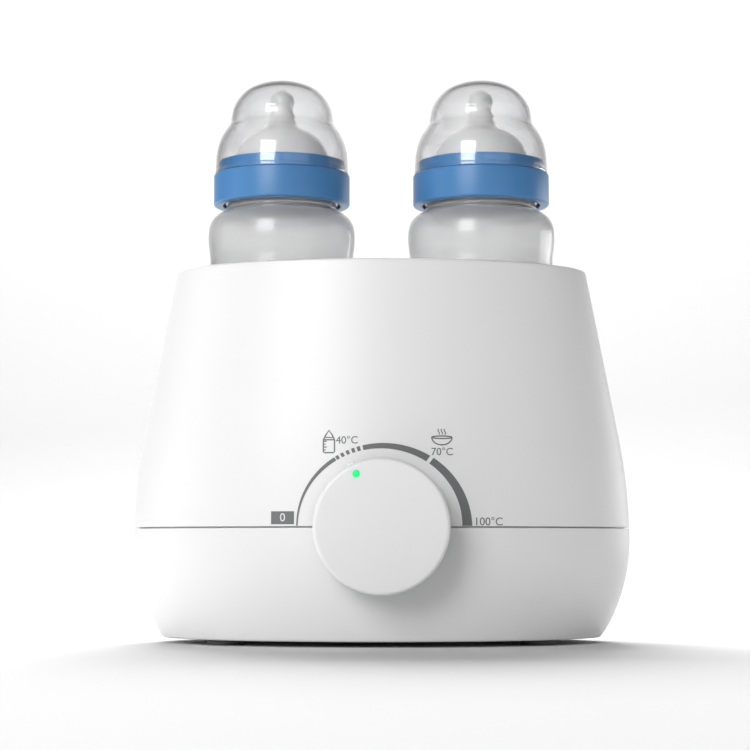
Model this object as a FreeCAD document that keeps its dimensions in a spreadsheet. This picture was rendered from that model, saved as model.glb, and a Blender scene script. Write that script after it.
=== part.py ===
"""Twin bottle warmer with two wide-neck feeding bottles, in millimetres.

+X points to the right, -Y to the front and +Z up. The origin lies on the bench, under the middle
of the oval housing.
"""
import FreeCAD, Part
import math
import os
import re
import Sketcher

# Every size of the object: the alias of its cell, its value and what it means. A value that starts
# with = is worked out from other sizes.
SIZES = (
    ("belly_width", 227.6, "housing width where it is widest"),
    ("belly_depth", 132.0, "housing depth where it is widest"),
    ("belly_height", 46.0, "height of the widest place"),
    ("upper_bend", 250.0, "side radius above the widest place"),
    ("lower_bend", 77.0, "side radius below the widest place"),
    ("rim_height", 170.0, "top of the rim"),
    ("rim_inset", 19.15, "rim, in from the widest place"),
    ("side_rise", "=rim_height - belly_height", "height from the widest place to the rim"),
    ("side_run", "=upper_bend - rim_inset", "rim, out from the upper bend's centre"),
    ("side_draft", "=(atan(side_rise / side_run) - acos(upper_bend / hypot(side_rise; side_run))) / 1 deg",
     "lean of the straight upper side, degrees"),
    ("rim_round", 1.2, "rounding of the rim"),
    ("base_height", 2.5, "underside of the housing above the bench"),
    ("base_round", 3.0, "rounding of the bottom edge"),
    ("wall_thickness", 2.5, "housing wall"),
    ("floor_thickness", 3.0, "housing floor"),
    ("parting_height", 52.0, "line between the two housings, and the knob's height"),
    ("parting_gap", 0.6, "shadow gap at the parting line"),
    ("tongue_thickness", 1.2, "locating tongue of the lower housing"),
    ("tongue_rise", 3.0, "tongue height above the parting line"),
    ("tongue_clearance", 0.2, "gap between tongue and upper housing"),
    ("tongue_root", 5.0, "height of the thick band under the tongue"),
    ("deck_drop", 4.0, "deck surface below the rim"),
    ("deck_thickness", 2.5, "deck plate"),
    ("boss_across", 42.0, "screw boss distance from the middle, left and right"),
    ("boss_along", 42.0, "screw boss distance from the middle, front and back"),
    ("boss_radius", 5.5, "lower screw boss"),
    ("column_radius", 4.5, "upper screw column"),
    ("column_rise", 13.0, "upper screw column above the parting line"),
    ("rib_thickness", 2.4, "rib between a column and the wall"),
    ("screw_radius", 1.7, "housing screw shank"),
    ("screw_length", 16.0, "housing screw shank length"),
    ("screw_engagement", 8.0, "housing screw length in the upper column"),
    ("screw_head_radius", 3.5, "housing screw head"),
    ("screw_head_height", 2.4, "housing screw head"),
    ("screw_clearance", 0.3, "gap round a screw's shank and head"),
    ("pilot_clearance", 0.05, "gap round a screw in its pilot hole"),
    ("foot_radius", 8.0, "rubber foot"),
    ("foot_height", 4.0, "rubber foot"),
    ("foot_round", 1.0, "edge of a rubber foot"),
    ("foot_across", 70.0, "foot distance from the middle, left and right"),
    ("foot_along", 26.0, "foot distance from the middle, front and back"),
    ("foot_clearance", 0.2, "gap round a foot in its recess"),
    ("vent_width", 2.6, "floor vent slot"),
    ("vent_length", 26.0, "floor vent slot"),
    ("vent_pitch", 7.0, "distance between floor vent slots"),
    ("well_gap", 4.0, "gap between a bottle's shoulder and its well"),
    ("well_radius", "=bottle_bulge + well_gap", "inside of a well"),
    ("well_wall", 1.2, "wall of a well"),
    ("well_floor", 1.5, "floor of a well"),
    ("well_floor_height", 76.4, "floor surface of a well"),
    ("well_corner", 4.0, "rounding between wall and floor of a well"),
    ("well_bridge", 14.4, "distance between the two wells"),
    ("well_flange", 1.4, "how far a well's flange overhangs its wall"),
    ("flange_thickness", 1.2, "flange of a well"),
    ("well_clearance", 0.3, "gap between a well and the deck opening"),
    ("seal_thickness", 0.8, "silicone ring under the flange"),
    ("stud_radius", 2.0, "heater stud under a well"),
    ("stud_offset", 27.0, "heater stud distance from the well's axis"),
    ("stud_length", 10.0, "heater stud length under a well"),
    ("plate_radius", 32.0, "heater plate"),
    ("plate_thickness", 5.5, "heater plate"),
    ("hole_clearance", 0.3, "gap round a stud in the heater plate"),
    ("nut_across", 7.0, "nut, across its flats"),
    ("nut_height", 3.2, "nut height"),
    ("tube_ring", 18.5, "heating tube, radius of its ring"),
    ("tube_radius", 3.2, "heating tube"),
    ("tube_bed", 0.7, "depth of the tube's groove in the plate"),
    ("tube_sweep", 300.0, "angle that the heating tube covers, degrees"),
    ("pin_radius", 1.2, "terminal pin of the heating tube"),
    ("pin_length", 6.0, "terminal pin of the heating tube"),
    ("thermostat_radius", 8.0, "thermostat can"),
    ("thermostat_height", 7.0, "thermostat can"),
    ("blade_width", 4.8, "thermostat terminal blade"),
    ("blade_thickness", 0.8, "thermostat terminal blade"),
    ("blade_length", 5.0, "thermostat terminal blade"),
    ("blade_offset", 4.0, "thermostat terminal blade from the can's axis"),
    ("knob_radius", 29.0, "knob"),
    ("knob_depth", 19.0, "knob, from its back edge to its face"),
    ("knob_gap", 0.6, "gap between knob and housing"),
    ("knob_round", 1.8, "edge of the knob's face"),
    ("knob_skirt", 2.2, "knob wall"),
    ("knob_face", 2.5, "knob face thickness"),
    ("hub_radius", 8.0, "knob hub"),
    ("hub_inset", 1.0, "knob hub behind the back edge"),
    ("socket_clearance", 0.05, "gap round the shaft in the hub"),
    ("pointer_angle", 25.7, "pointer and light, left of straight up, degrees"),
    ("pointer_width", 3.4, "raised pointer on the knob's skirt"),
    ("pointer_rise", 1.3, "raised pointer on the knob's skirt"),
    ("pointer_depth", 11.0, "raised pointer on the knob's skirt"),
    ("dot_radius", 1.6, "light dot in the knob's face"),
    ("dot_inset", 4.4, "light dot from the knob's edge"),
    ("dot_offset", "=knob_radius - dot_inset", "light dot from the knob's axis"),
    ("dot_clearance", 0.05, "gap round the light dot"),
    ("pipe_ring", 17.0, "light ring behind the knob's face"),
    ("pipe_thickness", 2.4, "light ring"),
    ("pipe_arm", 4.6, "width of the arm to the dot"),
    ("pipe_gap", 0.4, "gap between the arm and the knob's wall"),
    ("pipe_edge", "=knob_radius - knob_skirt - pipe_gap", "how far the arm reaches from the axis"),
    ("shaft_radius", 3.0, "control shaft"),
    ("shaft_flat", 1.5, "flat of the control shaft, from its axis"),
    ("shaft_clearance", 0.05, "running gap of the control shaft"),
    ("shaft_end_gap", 0.8, "gap at each end of the control shaft"),
    ("bezel_cover", 5.0, "how far the knob covers the bezel's opening"),
    ("bezel_radius", "=knob_radius - bezel_cover", "opening for the bezel plug"),
    ("bezel_clearance", 0.1, "gap round the bezel plug"),
    ("bezel_recess", 0.8, "bezel plug behind the housing surface"),
    ("bezel_inset", 7.3, "bezel plate behind the housing surface"),
    ("bezel_plate", 2.0, "bezel plate thickness"),
    ("bezel_bore", 3.4, "bezel opening round the shaft"),
    ("board_width", 66.0, "control board, and the bezel plate"),
    ("board_height", 40.0, "control board, and the bezel plate"),
    ("board_thickness", 1.6, "control board"),
    ("standoff_length", 10.7, "bezel plate to control board"),
    ("standoff_radius", 3.2, "bezel standoff"),
    ("standoff_inset", 4.6, "standoff axis from the edge of the board"),
    ("board_screw_radius", 1.2, "board screw shank"),
    ("board_screw_length", 8.0, "board screw shank"),
    ("board_head_radius", 2.6, "board screw head"),
    ("board_head_height", 1.6, "board screw head"),
    ("post_across", 17.0, "bezel post from the middle"),
    ("post_radius", 3.6, "bezel post"),
    ("post_reach", 6.0, "bezel post axis behind the bezel plate's front"),
    ("tab_width", 9.0, "bezel tab on a post"),
    ("control_width", 20.0, "rotary control body"),
    ("control_bushing", 4.6, "rotary control bushing radius"),
    ("led_radius", 2.5, "indicator light"),
    ("led_offset", 13.0, "indicator light from the knob's axis"),
    ("led_reach", 14.5, "indicator light in front of the board"),
    ("led_clearance", 0.3, "gap round the indicator light"),
    ("lead_radius", 0.35, "indicator light's wire leg"),
    ("relay_width", 19.0, "relay"),
    ("relay_height", 15.5, "relay"),
    ("relay_depth", 15.0, "relay"),
    ("capacitor_width", 18.0, "filter capacitor"),
    ("capacitor_height", 8.0, "filter capacitor"),
    ("capacitor_depth", 14.0, "filter capacitor"),
    ("terminal_pitch", 5.0, "terminal block, distance between its ways"),
    ("terminal_depth", 10.0, "terminal block"),
    ("terminal_height", 8.0, "terminal block"),
    ("terminal_bore", 1.6, "terminal block, wire hole radius"),
    ("wire_radius", 1.1, "insulated heater lead"),
    ("wire_bend", 8.0, "bend of a heater lead"),
    ("gland_height", 18.0, "cord gland axis above the bench"),
    ("gland_bore", 3.3, "cord gland, hole for the cord"),
    ("gland_neck", 6.0, "cord gland, neck radius"),
    ("gland_flange", 8.0, "cord gland, flange radius"),
    ("gland_flange_thickness", 2.2, "cord gland, each flange"),
    ("gland_seat", 2.5, "housing wall held between the gland's flanges"),
    ("gland_inset", 4.4, "gland seat behind the housing's rear surface"),
    ("gland_tail", 21.8, "cord gland, tapered tail"),
    ("gland_tail_root", 5.6, "cord gland, tail radius at the flange"),
    ("gland_tail_tip", 4.3, "cord gland, tail radius at its end"),
    ("gland_clearance", 0.1, "gap round the gland's neck and flange"),
    ("gland_pad", 10.5, "thick pad round the gland"),
    ("bottle_bulge", 34.0, "bottle shoulder"),
    ("shoulder_swell", 1.0, "how far the shoulder swells beyond the bottle's side"),
    ("bottle_radius", "=bottle_bulge - shoulder_swell", "bottle side"),
    ("bottle_wall", 1.6, "bottle wall"),
    ("bottle_floor", 2.0, "bottle bottom"),
    ("bottle_corner", 5.0, "rounding at the bottle's bottom"),
    ("bulge_start", 99.0, "where the shoulder starts to swell, above the bottle's bottom"),
    ("bulge_height", 109.5, "shoulder at its widest, above the bottle's bottom"),
    ("shoulder_height", 121.5, "top of the shoulder, above the bottle's bottom"),
    ("shoulder_bend", 11.5, "rounding of the shoulder"),
    ("neck_inset", 7.0, "neck, in from the bottle's shoulder"),
    ("neck_radius", "=bottle_bulge - neck_inset", "bottle neck inside the collar"),
    ("groove_depth", 1.7, "groove under the collar, in from the neck"),
    ("neck_groove", "=neck_radius - groove_depth", "bottle neck under the collar"),
    ("neck_wall", 1.8, "wall of the neck"),
    ("collar_height", 125.0, "bottom of the collar, above the bottle's bottom"),
    ("neck_height", 141.5, "top of the neck, above the bottle's bottom"),
    ("collar_wall", 4.6, "lower band of the collar, out from the neck"),
    ("collar_radius", "=neck_radius + collar_wall", "lower band of the collar"),
    ("collar_band", 14.6, "height of the lower band"),
    ("collar_ledge", 2.5, "ledge between the collar's two bands"),
    ("collar_step", "=collar_radius - collar_ledge", "upper band of the collar"),
    ("collar_rise", 5.9, "height of the upper band"),
    ("collar_lip", 1.5, "lip that holds the teat"),
    ("collar_hold", 0.8, "how far the lip reaches over the teat's flange"),
    ("collar_opening", "=teat_flange - collar_hold", "collar opening round the teat"),
    ("collar_round", 1.0, "edges of the collar"),
    ("thread_clearance", 0.3, "gap between neck and collar"),
    ("flange_reach", 0.6, "teat flange, out from the neck"),
    ("teat_flange", "=neck_radius + flange_reach", "teat flange"),
    ("flange_depth", 2.2, "teat flange"),
    ("teat_clearance", 0.3, "gap round the teat"),
    ("teat_wall", 1.6, "teat wall"),
    ("teat_shoulder", 19.5, "top of the teat's broad dome, above the neck"),
    ("teat_throat", 5.4, "narrow part of the teat"),
    ("teat_bulb", 5.6, "tip of the teat"),
    ("teat_height", 38.6, "tip of the teat, above the neck"),
    ("cap_clearance", 0.3, "gap between cap and collar"),
    ("cap_wall", 1.3, "cap wall"),
    ("cap_taper", 5.5, "cap waist, in from the collar's upper band"),
    ("cap_waist", "=collar_step - cap_taper", "cap waist"),
    ("cap_waist_height", 23.9, "cap waist, above the lower band of the collar"),
    ("cap_bell_bend", 40.0, "side radius of the cap below its waist"),
    ("cap_shelf", 0.4, "cap dome, in from the waist"),
    ("cap_dome", "=cap_waist - cap_shelf", "cap dome at its bottom"),
    ("cap_dome_height", 27.0, "bottom of the dome, above the lower band of the collar"),
    ("cap_dome_side", 12.5, "side radius of the cap's dome"),
    ("cap_height", 44.4, "cap"),
)

ALIASES = {alias for alias, value, note in SIZES}
TURNS = {
    "up": FreeCAD.Rotation(),
    "down": FreeCAD.Rotation(FreeCAD.Vector(1, 0, 0), 180),
    "front": FreeCAD.Rotation(FreeCAD.Vector(1, 0, 0), 90),
    "rear": FreeCAD.Rotation(FreeCAD.Vector(1, 0, 0), -90),
}
SIDES = (("left", -1), ("right", 1))
CORNERS = ((-1, -1), (1, -1), (-1, 1), (1, 1))

doc = FreeCAD.newDocument("bottle_warmer")
sheet = doc.addObject("Spreadsheet::Sheet", "Sizes")
nodes = []

# ---------------------------------------------------------------- shared places, as expressions
FRONT = "belly_depth / 2"
WELL_ACROSS = "(well_radius + well_wall + well_bridge / 2)"
WELL_UNDERSIDE = "(well_floor_height - well_floor)"
DECK = "(rim_height - deck_drop)"
FLOOR = "(base_height + floor_thickness)"
KNOB_BACK = f"-({FRONT} + knob_gap)"
PLATE_FRONT = f"-({FRONT} - bezel_inset)"
PLATE_BACK = f"({PLATE_FRONT} + bezel_plate)"
BOARD_FRONT = f"({PLATE_BACK} + standoff_length)"
BOARD_BACK = f"({BOARD_FRONT} + board_thickness)"
BOARD_BOTTOM = "(parting_height - board_height / 2)"
GLAND_SEAT = f"({FRONT} - gland_inset)"
NECK_TOP = "(well_floor_height + neck_height)"
COLLAR_BOTTOM = "(well_floor_height + collar_height)"
CAP_SEAT = f"({COLLAR_BOTTOM} + collar_band)"


# ---------------------------------------------------------------- helpers
def fill_sheet():
    """Write the sizes into the sheet, once every alias is there for the formulas."""
    for row, (alias, value, note) in enumerate(SIZES, start=1):
        sheet.setAlias(f"B{row}", alias)
    for row, (alias, value, note) in enumerate(SIZES, start=1):
        sheet.set(f"A{row}", note)
        sheet.set(f"B{row}", str(value))
    doc.recompute()


def sized(expression):
    """Point every alias in an expression at its cell."""
    return re.sub(r"[a-z_]+", lambda word: word[0] if word[0] not in ALIASES else f"Sizes.{word[0]}",
                  str(expression))


def number(expression):
    """Work out an expression now."""
    return float(sheet.evalExpression(sized(expression)))


def place(thing, x, y, z, facing):
    """Put a thing at x, y, z with its own Z axis facing up, down, to the front or to the rear."""
    thing.Placement = FreeCAD.Placement(FreeCAD.Vector(), TURNS[facing])
    for axis, value in (("x", x), ("y", y), ("z", z)):
        thing.setExpression(f"Placement.Base.{axis}", sized(value))
    return thing


def cylinder(name, radius, height, x=0, y=0, z=0, facing="up"):
    thing = doc.addObject("Part::Cylinder", name)
    thing.setExpression("Radius", sized(radius))
    thing.setExpression("Height", sized(height))
    return place(thing, x, y, z, facing)


def block(name, length, width, height, x, y, z):
    """A box with its middle at x, its front at y and its bottom at z."""
    thing = doc.addObject("Part::Box", name)
    thing.setExpression("Length", sized(length))
    thing.setExpression("Width", sized(width))
    thing.setExpression("Height", sized(height))
    return place(thing, f"({x}) - ({length}) / 2", y, z, "up")


def fuse(name, *pieces):
    thing = doc.addObject("Part::MultiFuse", name)
    thing.Shapes = list(pieces)
    return thing


def cut(name, base, *tools):
    thing = doc.addObject("Part::Cut", name)
    thing.Base = base
    thing.Tool = tools[0] if len(tools) == 1 else fuse(f"{name}_tools", *tools)
    return thing


def common(name, *pieces):
    thing = doc.addObject("Part::MultiCommon", name)
    thing.Shapes = list(pieces)
    return thing


def group(name, *pieces):
    """Separate solids kept together in one node."""
    thing = doc.addObject("Part::Compound", name)
    thing.Links = list(pieces)
    return thing


def node(name, thing):
    """Name a finished sub-part, so that it is written out."""
    thing.Label = name
    nodes.append(thing)
    return thing


def arc(start, end, bend):
    """The arc from start to end that turns left for a positive bend, and right for a negative one."""
    chord = end - start
    reach = math.sqrt(max(bend * bend - chord.Length ** 2 / 4, 0)) * math.copysign(1, bend)
    left = FreeCAD.Vector(-chord.y, chord.x, 0).normalize()
    centre = (start + end) / 2 + left * reach
    first, last = (start, end) if bend > 0 else (end, start)
    angles = [math.atan2(point.y - centre.y, point.x - centre.x) for point in (first, last)]
    circle = Part.Circle(centre, FreeCAD.Vector(0, 0, 1), abs(bend))
    return Part.ArcOfCircle(circle, angles[0], angles[1])


def outline(body, corners):
    """Sketch a closed outline on the body's XZ plane, every corner tied to the sheet.

    A corner is (x, z), or (x, z, bend) where an arc of that radius runs to the next corner.
    """
    sketch = body.newObject("Sketcher::SketchObject", f"{body.Name}_outline")
    plane = [item for item in body.Origin.OriginFeatures if item.Role == "XZ_Plane"][0]
    sketch.AttachmentSupport = [(plane, "")]
    sketch.MapMode = "FlatFace"
    points = [FreeCAD.Vector(number(corner[0]), number(corner[1]), 0) for corner in corners]
    starts = []
    for index, corner in enumerate(corners):
        start, end = points[index], points[(index + 1) % len(points)]
        bend = number(corner[2]) if len(corner) == 3 else 0
        sketch.addGeometry(arc(start, end, bend) if bend else Part.LineSegment(start, end), False)
        starts.append(2 if bend < 0 else 1)
        if bend:
            sketch.addConstraint(Sketcher.Constraint("Radius", index, abs(bend)))
            sketch.renameConstraint(sketch.ConstraintCount - 1, f"bend{index}")
            sketch.setExpression(f"Constraints.bend{index}", f"abs({sized(corner[2])})")
    for index, corner in enumerate(corners):
        last = (index - 1) % len(corners)
        sketch.addConstraint(Sketcher.Constraint("Coincident", last, 3 - starts[last], index, starts[index]))
        for axis, place_in, letter in (("DistanceX", 0, "x"), ("DistanceY", 1, "z")):
            value = points[index][place_in]
            sketch.addConstraint(Sketcher.Constraint(axis, -1, 1, index, starts[index], value))
            sketch.renameConstraint(sketch.ConstraintCount - 1, f"{letter}{index}")
            sketch.setExpression(f"Constraints.{letter}{index}", sized(corner[place_in]))
    return sketch


def turned(name, corners, x=0, y=0, z=0, facing="up"):
    """A body turned about its own Z axis from an outline of (radius, height) corners."""
    body = doc.addObject("PartDesign::Body", name)
    sketch = outline(body, corners)
    turn = body.newObject("PartDesign::Revolution", f"{name}_turn")
    turn.Profile = sketch
    turn.ReferenceAxis = (sketch, ["V_Axis"])
    turn.Angle = 360
    return place(body, x, y, z, facing)


# ---------------------------------------------------------------- housings
def form(name, inset, bottom, top, rounded=False):
    """The oval form of the housing, drawn in by an inset, between two heights."""
    lower_x = "(belly_width / 2 - lower_bend)"
    upper_x = "(belly_width / 2 - upper_bend)"
    lean_x = f"({upper_x} + (upper_bend - {inset}) * cos(side_draft))"
    lean_z = f"(belly_height + (upper_bend - {inset}) * sin(side_draft))"
    top_x = f"({lean_x} - ({top} - {lean_z}) * tan(side_draft))"
    if rounded:
        trim = "rim_round * tan(45 - side_draft / 2)"
        round_x = (f"({lower_x} + sqrt((lower_bend - base_round)^2"
                   " - (belly_height - base_height - base_round)^2))")
        stretch = "lower_bend / (lower_bend - base_round)"
        foot = [(round_x, bottom, "base_round"),
                (f"{lower_x} + ({round_x} - {lower_x}) * {stretch}",
                 f"belly_height - (belly_height - base_height - base_round) * {stretch}",
                 "lower_bend")]
        head = [(f"{top_x} + {trim} * sin(side_draft)", f"{top} - {trim} * cos(side_draft)", "rim_round"),
                (f"{top_x} - {trim}", top)]
    else:
        foot = [(f"{lower_x} + sqrt((lower_bend - {inset})^2 - (belly_height - {bottom})^2)", bottom,
                 f"lower_bend - {inset}")]
        head = [(top_x, top)]
    middle = [(f"belly_width / 2 - {inset}", "belly_height", f"upper_bend - {inset}"), (lean_x, lean_z)]
    round_form = turned(f"{name}_round", [(0, bottom)] + foot + middle + head + [(0, top)])
    oval = doc.addObject("Part::Scale", name)
    oval.Base = round_form
    oval.Uniform = False
    oval.setExpression("YScale", sized(f"(belly_depth / 2 - {inset}) / (belly_width / 2 - {inset})"))
    return oval


def slab(name, bottom, top):
    """Everything between two heights."""
    side = "belly_width * 2"
    return block(name, side, side, f"({top}) - ({bottom})", 0, "-belly_width", bottom)


def boss(name, radius, bottom, top, across, along):
    """An upright round bar between two heights."""
    return cylinder(name, radius, f"({top}) - ({bottom})", across, along, bottom)


def housings():
    """The upper and lower housings share one form, and meet at the parting line."""
    above = "rim_height + wall_thickness"
    outer = form("outer_form", "0", "base_height", "rim_height", rounded=True)
    inner = form("inner_form", "wall_thickness", FLOOR, above)
    deck = slab("deck_slab", f"{DECK} - deck_thickness", DECK)
    shell = cut("shell", outer, cut("cavity", inner, deck))
    bezel_opening = cylinder("bezel_opening", "bezel_radius", FRONT, 0, PLATE_FRONT, "parting_height",
                             "front")
    upper_housing(outer, shell, bezel_opening)
    lower_housing(outer, shell, bezel_opening)


def upper_housing(outer, shell, bezel_opening):
    edge = "parting_height + parting_gap / 2"
    upper_shell = common("upper_shell", shell, slab("upper_slab", edge, "rim_height * 2"))
    pieces, holes = [upper_shell], [bezel_opening]
    for name, side in SIDES:
        holes.append(boss(f"{name}_deck_opening", "well_radius + well_wall + well_clearance",
                          f"{DECK} - deck_thickness * 2", f"{DECK} + deck_drop",
                          f"{side} * {WELL_ACROSS}", 0))
    for index, (side, end) in enumerate(CORNERS):
        across, along = f"{side} * boss_across", f"{end} * boss_along"
        top = "parting_height + column_rise"
        column = boss(f"column{index}", "column_radius", "parting_height", top, across, along)
        reach = f"{FRONT} - boss_along"
        rib_bottom = "(parting_height + tongue_rise + tongue_clearance * 2)"
        rib = block(f"column_rib{index}", "rib_thickness", reach, f"{top} - {rib_bottom}", across,
                    along if end > 0 else f"-({FRONT})", rib_bottom)
        pieces.append(common(f"column_to_wall{index}", fuse(f"column_and_rib{index}", column, rib), outer))
        holes.append(cylinder(f"pilot{index}", "screw_radius + pilot_clearance", "screw_engagement + 2",
                              across, along, "parting_height"))
    node("upper_housing", cut("upper_cut", fuse("upper_solid", *pieces), *holes))


def lower_housing(outer, shell, bezel_opening):
    edge = "(parting_height - parting_gap / 2)"
    lower_shell = common("lower_shell", shell, slab("lower_slab", "0", edge))
    tongue_top = "(parting_height + tongue_rise)"
    tongue_inside = "(wall_thickness + tongue_clearance + tongue_thickness)"
    hollow = form("tongue_hollow", tongue_inside, FLOOR, f"{tongue_top} + 1")
    fit = form("tongue_fit", "(wall_thickness + tongue_clearance)", FLOOR, tongue_top)
    root = common("tongue_root_band", outer, slab("root_slab", f"{edge} - tongue_root", edge))
    rise = common("tongue_rise_band", fit, slab("rise_slab", f"{edge} - tongue_root", tongue_top))
    tongue = cut("tongue", fuse("tongue_solid", root, rise), hollow)
    pieces, holes = [lower_shell, tongue], [bezel_opening]
    head_seat = "(parting_height + screw_engagement - screw_length)"
    for index, (side, end) in enumerate(CORNERS):
        across, along = f"{side} * boss_across", f"{end} * boss_along"
        pieces.append(boss(f"boss{index}", "boss_radius", FLOOR, "parting_height", across, along))
        holes.append(boss(f"screw_hole{index}", "screw_radius + screw_clearance", "base_height",
                          "parting_height + 1", across, along))
        holes.append(boss(f"screw_well{index}", "screw_head_radius + screw_clearance", "0", head_seat,
                          across, along))
        holes.append(boss(f"foot_recess{index}", "foot_radius + foot_clearance", "0", "foot_height",
                          f"{side} * foot_across", f"{end} * foot_along"))
    for name, side in SIDES:
        across, along = f"{side} * post_across", f"{PLATE_FRONT} + post_reach"
        post_top = f"{BOARD_BOTTOM} - bezel_plate"
        pieces.append(boss(f"{name}_post", "post_radius", FLOOR, post_top, across, along))
        holes.append(boss(f"{name}_post_pilot", "board_screw_radius + pilot_clearance",
                          f"{post_top} - board_screw_length", BOARD_BOTTOM, across, along))
    for column in range(5):
        for row in (-1, 1):
            holes.append(block(f"vent{column}_{(row + 1) // 2}", "vent_width", "vent_length",
                               "floor_thickness * 2", f"{column - 2} * vent_pitch",
                               f"{row} * vent_length * 0.7 - vent_length / 2", "base_height - 1"))
    pad = cylinder("gland_pad_bar", "gland_pad", "gland_seat + gland_inset + 5", 0,
                   f"{GLAND_SEAT} - gland_seat", "gland_height", "rear")
    pieces.append(common("gland_pad_trimmed", pad, outer))
    holes.append(cylinder("gland_hole", "gland_neck + gland_clearance", "gland_pad * 3", 0,
                          f"{GLAND_SEAT} - gland_pad", "gland_height", "rear"))
    holes.append(cylinder("gland_recess", "gland_flange + gland_clearance", "gland_pad * 2", 0, GLAND_SEAT,
                          "gland_height", "rear"))
    holes.append(cylinder("gland_inner_recess", "gland_flange + gland_clearance",
                          "gland_flange_thickness * 2", 0, f"{GLAND_SEAT} - gland_seat", "gland_height",
                          "front"))
    node("lower_housing", cut("lower_cut", fuse("lower_solid", *pieces), *holes))


def feet():
    """Rubber feet in shallow recesses of the floor."""
    corners = [(0, 0), ("foot_radius - foot_round", 0, "foot_round"), ("foot_radius", "foot_round"),
               ("foot_radius", "foot_height"), (0, "foot_height")]
    pads = [turned(f"foot{index}", corners, f"{side} * foot_across", f"{end} * foot_along")
            for index, (side, end) in enumerate(CORNERS)]
    node("rubber_feet", group("feet", *pads))


def screw(name, shank, length, head, head_height, x, y, z, facing):
    """A pan-head screw, its head's underside at x, y, z and its point in the way that it faces."""
    corners = [(0, "0"), (f"{head} - {head_height} / 2", "0", f"{head_height} / 2"),
               (head, f"{head_height} / 2"), (head, head_height), (shank, head_height),
               (shank, f"{head_height} + {length} - {shank}"),
               (f"{shank} / 3", f"{head_height} + {length}"), (0, f"{head_height} + {length}")]
    back = {"up": (x, y, f"({z}) - {head_height}"), "down": (x, y, f"({z}) + {head_height}"),
            "front": (x, f"({y}) + {head_height}", z)}[facing]
    return turned(name, corners, *back, facing)


def fasteners():
    head_seat = "parting_height + screw_engagement - screw_length"
    large = ("screw_radius", "screw_length", "screw_head_radius", "screw_head_height")
    housing_screws = [screw(f"housing_screw{index}", *large, f"{side} * boss_across", f"{end} * boss_along",
                            head_seat, "up") for index, (side, end) in enumerate(CORNERS)]
    node("housing_screws", group("housing_screw_set", *housing_screws))
    small = ("board_screw_radius", "board_screw_length", "board_head_radius", "board_head_height")
    board_screws = [screw(f"board_screw{index}", *small, across, BOARD_BACK, height, "front")
                    for index, (across, height) in enumerate(standoff_places())]
    node("board_screws", group("board_screw_set", *board_screws))
    bezel_screws = [screw(f"{name}_bezel_screw", *small, f"{side} * post_across",
                          f"{PLATE_FRONT} + post_reach", BOARD_BOTTOM, "down") for name, side in SIDES]
    node("bezel_screws", group("bezel_screw_set", *bezel_screws))


# ---------------------------------------------------------------- knob and control
def around_knob(offset, angle):
    """A place on the front at an offset from the knob's axis, at an angle left of straight up."""
    return f"-({offset}) * sin({angle})", f"parting_height + ({offset}) * cos({angle})"


def standoff_places():
    across, height = "(board_width / 2 - standoff_inset)", "(board_height / 2 - standoff_inset)"
    return [(f"{side} * {across}", f"parting_height + {end} * {height}") for side, end in CORNERS]


def toward_dot(name, width, start, end, depth, y):
    """A bar on the front that runs outwards from the knob's axis, along the pointer's angle."""
    bar = doc.addObject("Part::Box", name)
    for size, value in (("Length", width), ("Width", depth), ("Height", f"({end}) - ({start})")):
        bar.setExpression(size, sized(value))
    bar.Placement = FreeCAD.Placement(
        FreeCAD.Vector(), FreeCAD.Rotation(FreeCAD.Vector(0, -1, 0), number("pointer_angle")))
    bar.setExpression("Placement.Rotation.Angle", sized("pointer_angle"))
    x, z = around_knob(start, "pointer_angle")
    bar.setExpression("Placement.Base.x", sized(f"{x} - ({width}) / 2 * cos(pointer_angle)"))
    bar.setExpression("Placement.Base.y", sized(y))
    bar.setExpression("Placement.Base.z", sized(f"{z} - ({width}) / 2 * sin(pointer_angle)"))
    return bar


def d_section(name, radius, flat, length, y):
    """A round bar along Y with one flat side on top."""
    bar = cylinder(f"{name}_round", radius, length, 0, y, "parting_height", "front")
    below = block(f"{name}_below", f"({radius}) * 3", length, f"({radius}) * 2 + ({flat})", 0,
                  f"({y}) - ({length})", f"parting_height - ({radius}) * 2")
    return common(name, bar, below)


def knob():
    """Hollow knob: face, skirt, hub with a D socket, a hole for the light and a raised pointer."""
    inside, face = "(knob_radius - knob_skirt)", "(knob_depth - knob_face)"
    corners = [("0", "hub_inset"), ("hub_radius", "hub_inset"), ("hub_radius", face), (inside, face),
               (inside, "0"), ("knob_radius", "0"), ("knob_radius", "knob_depth - knob_round", "knob_round"),
               ("knob_radius - knob_round", "knob_depth"), ("0", "knob_depth")]
    shell = turned("knob_shell", corners, 0, KNOB_BACK, "parting_height", "front")
    pointer = toward_dot("knob_pointer", "pointer_width", "knob_radius - knob_skirt / 2",
                         "knob_radius + pointer_rise", "pointer_depth", f"{KNOB_BACK} - pointer_depth")
    socket = d_section("knob_socket", "shaft_radius + socket_clearance", "shaft_flat + socket_clearance",
                       f"{face} - hub_inset", f"{KNOB_BACK} - hub_inset")
    x, z = around_knob("dot_offset", "pointer_angle")
    hole = cylinder("dot_hole", "dot_radius + dot_clearance", "knob_depth", x, f"{KNOB_BACK} - 1", z,
                    "front")
    node("knob", cut("knob_cut", fuse("knob_solid", shell, pointer), socket, hole))


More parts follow.
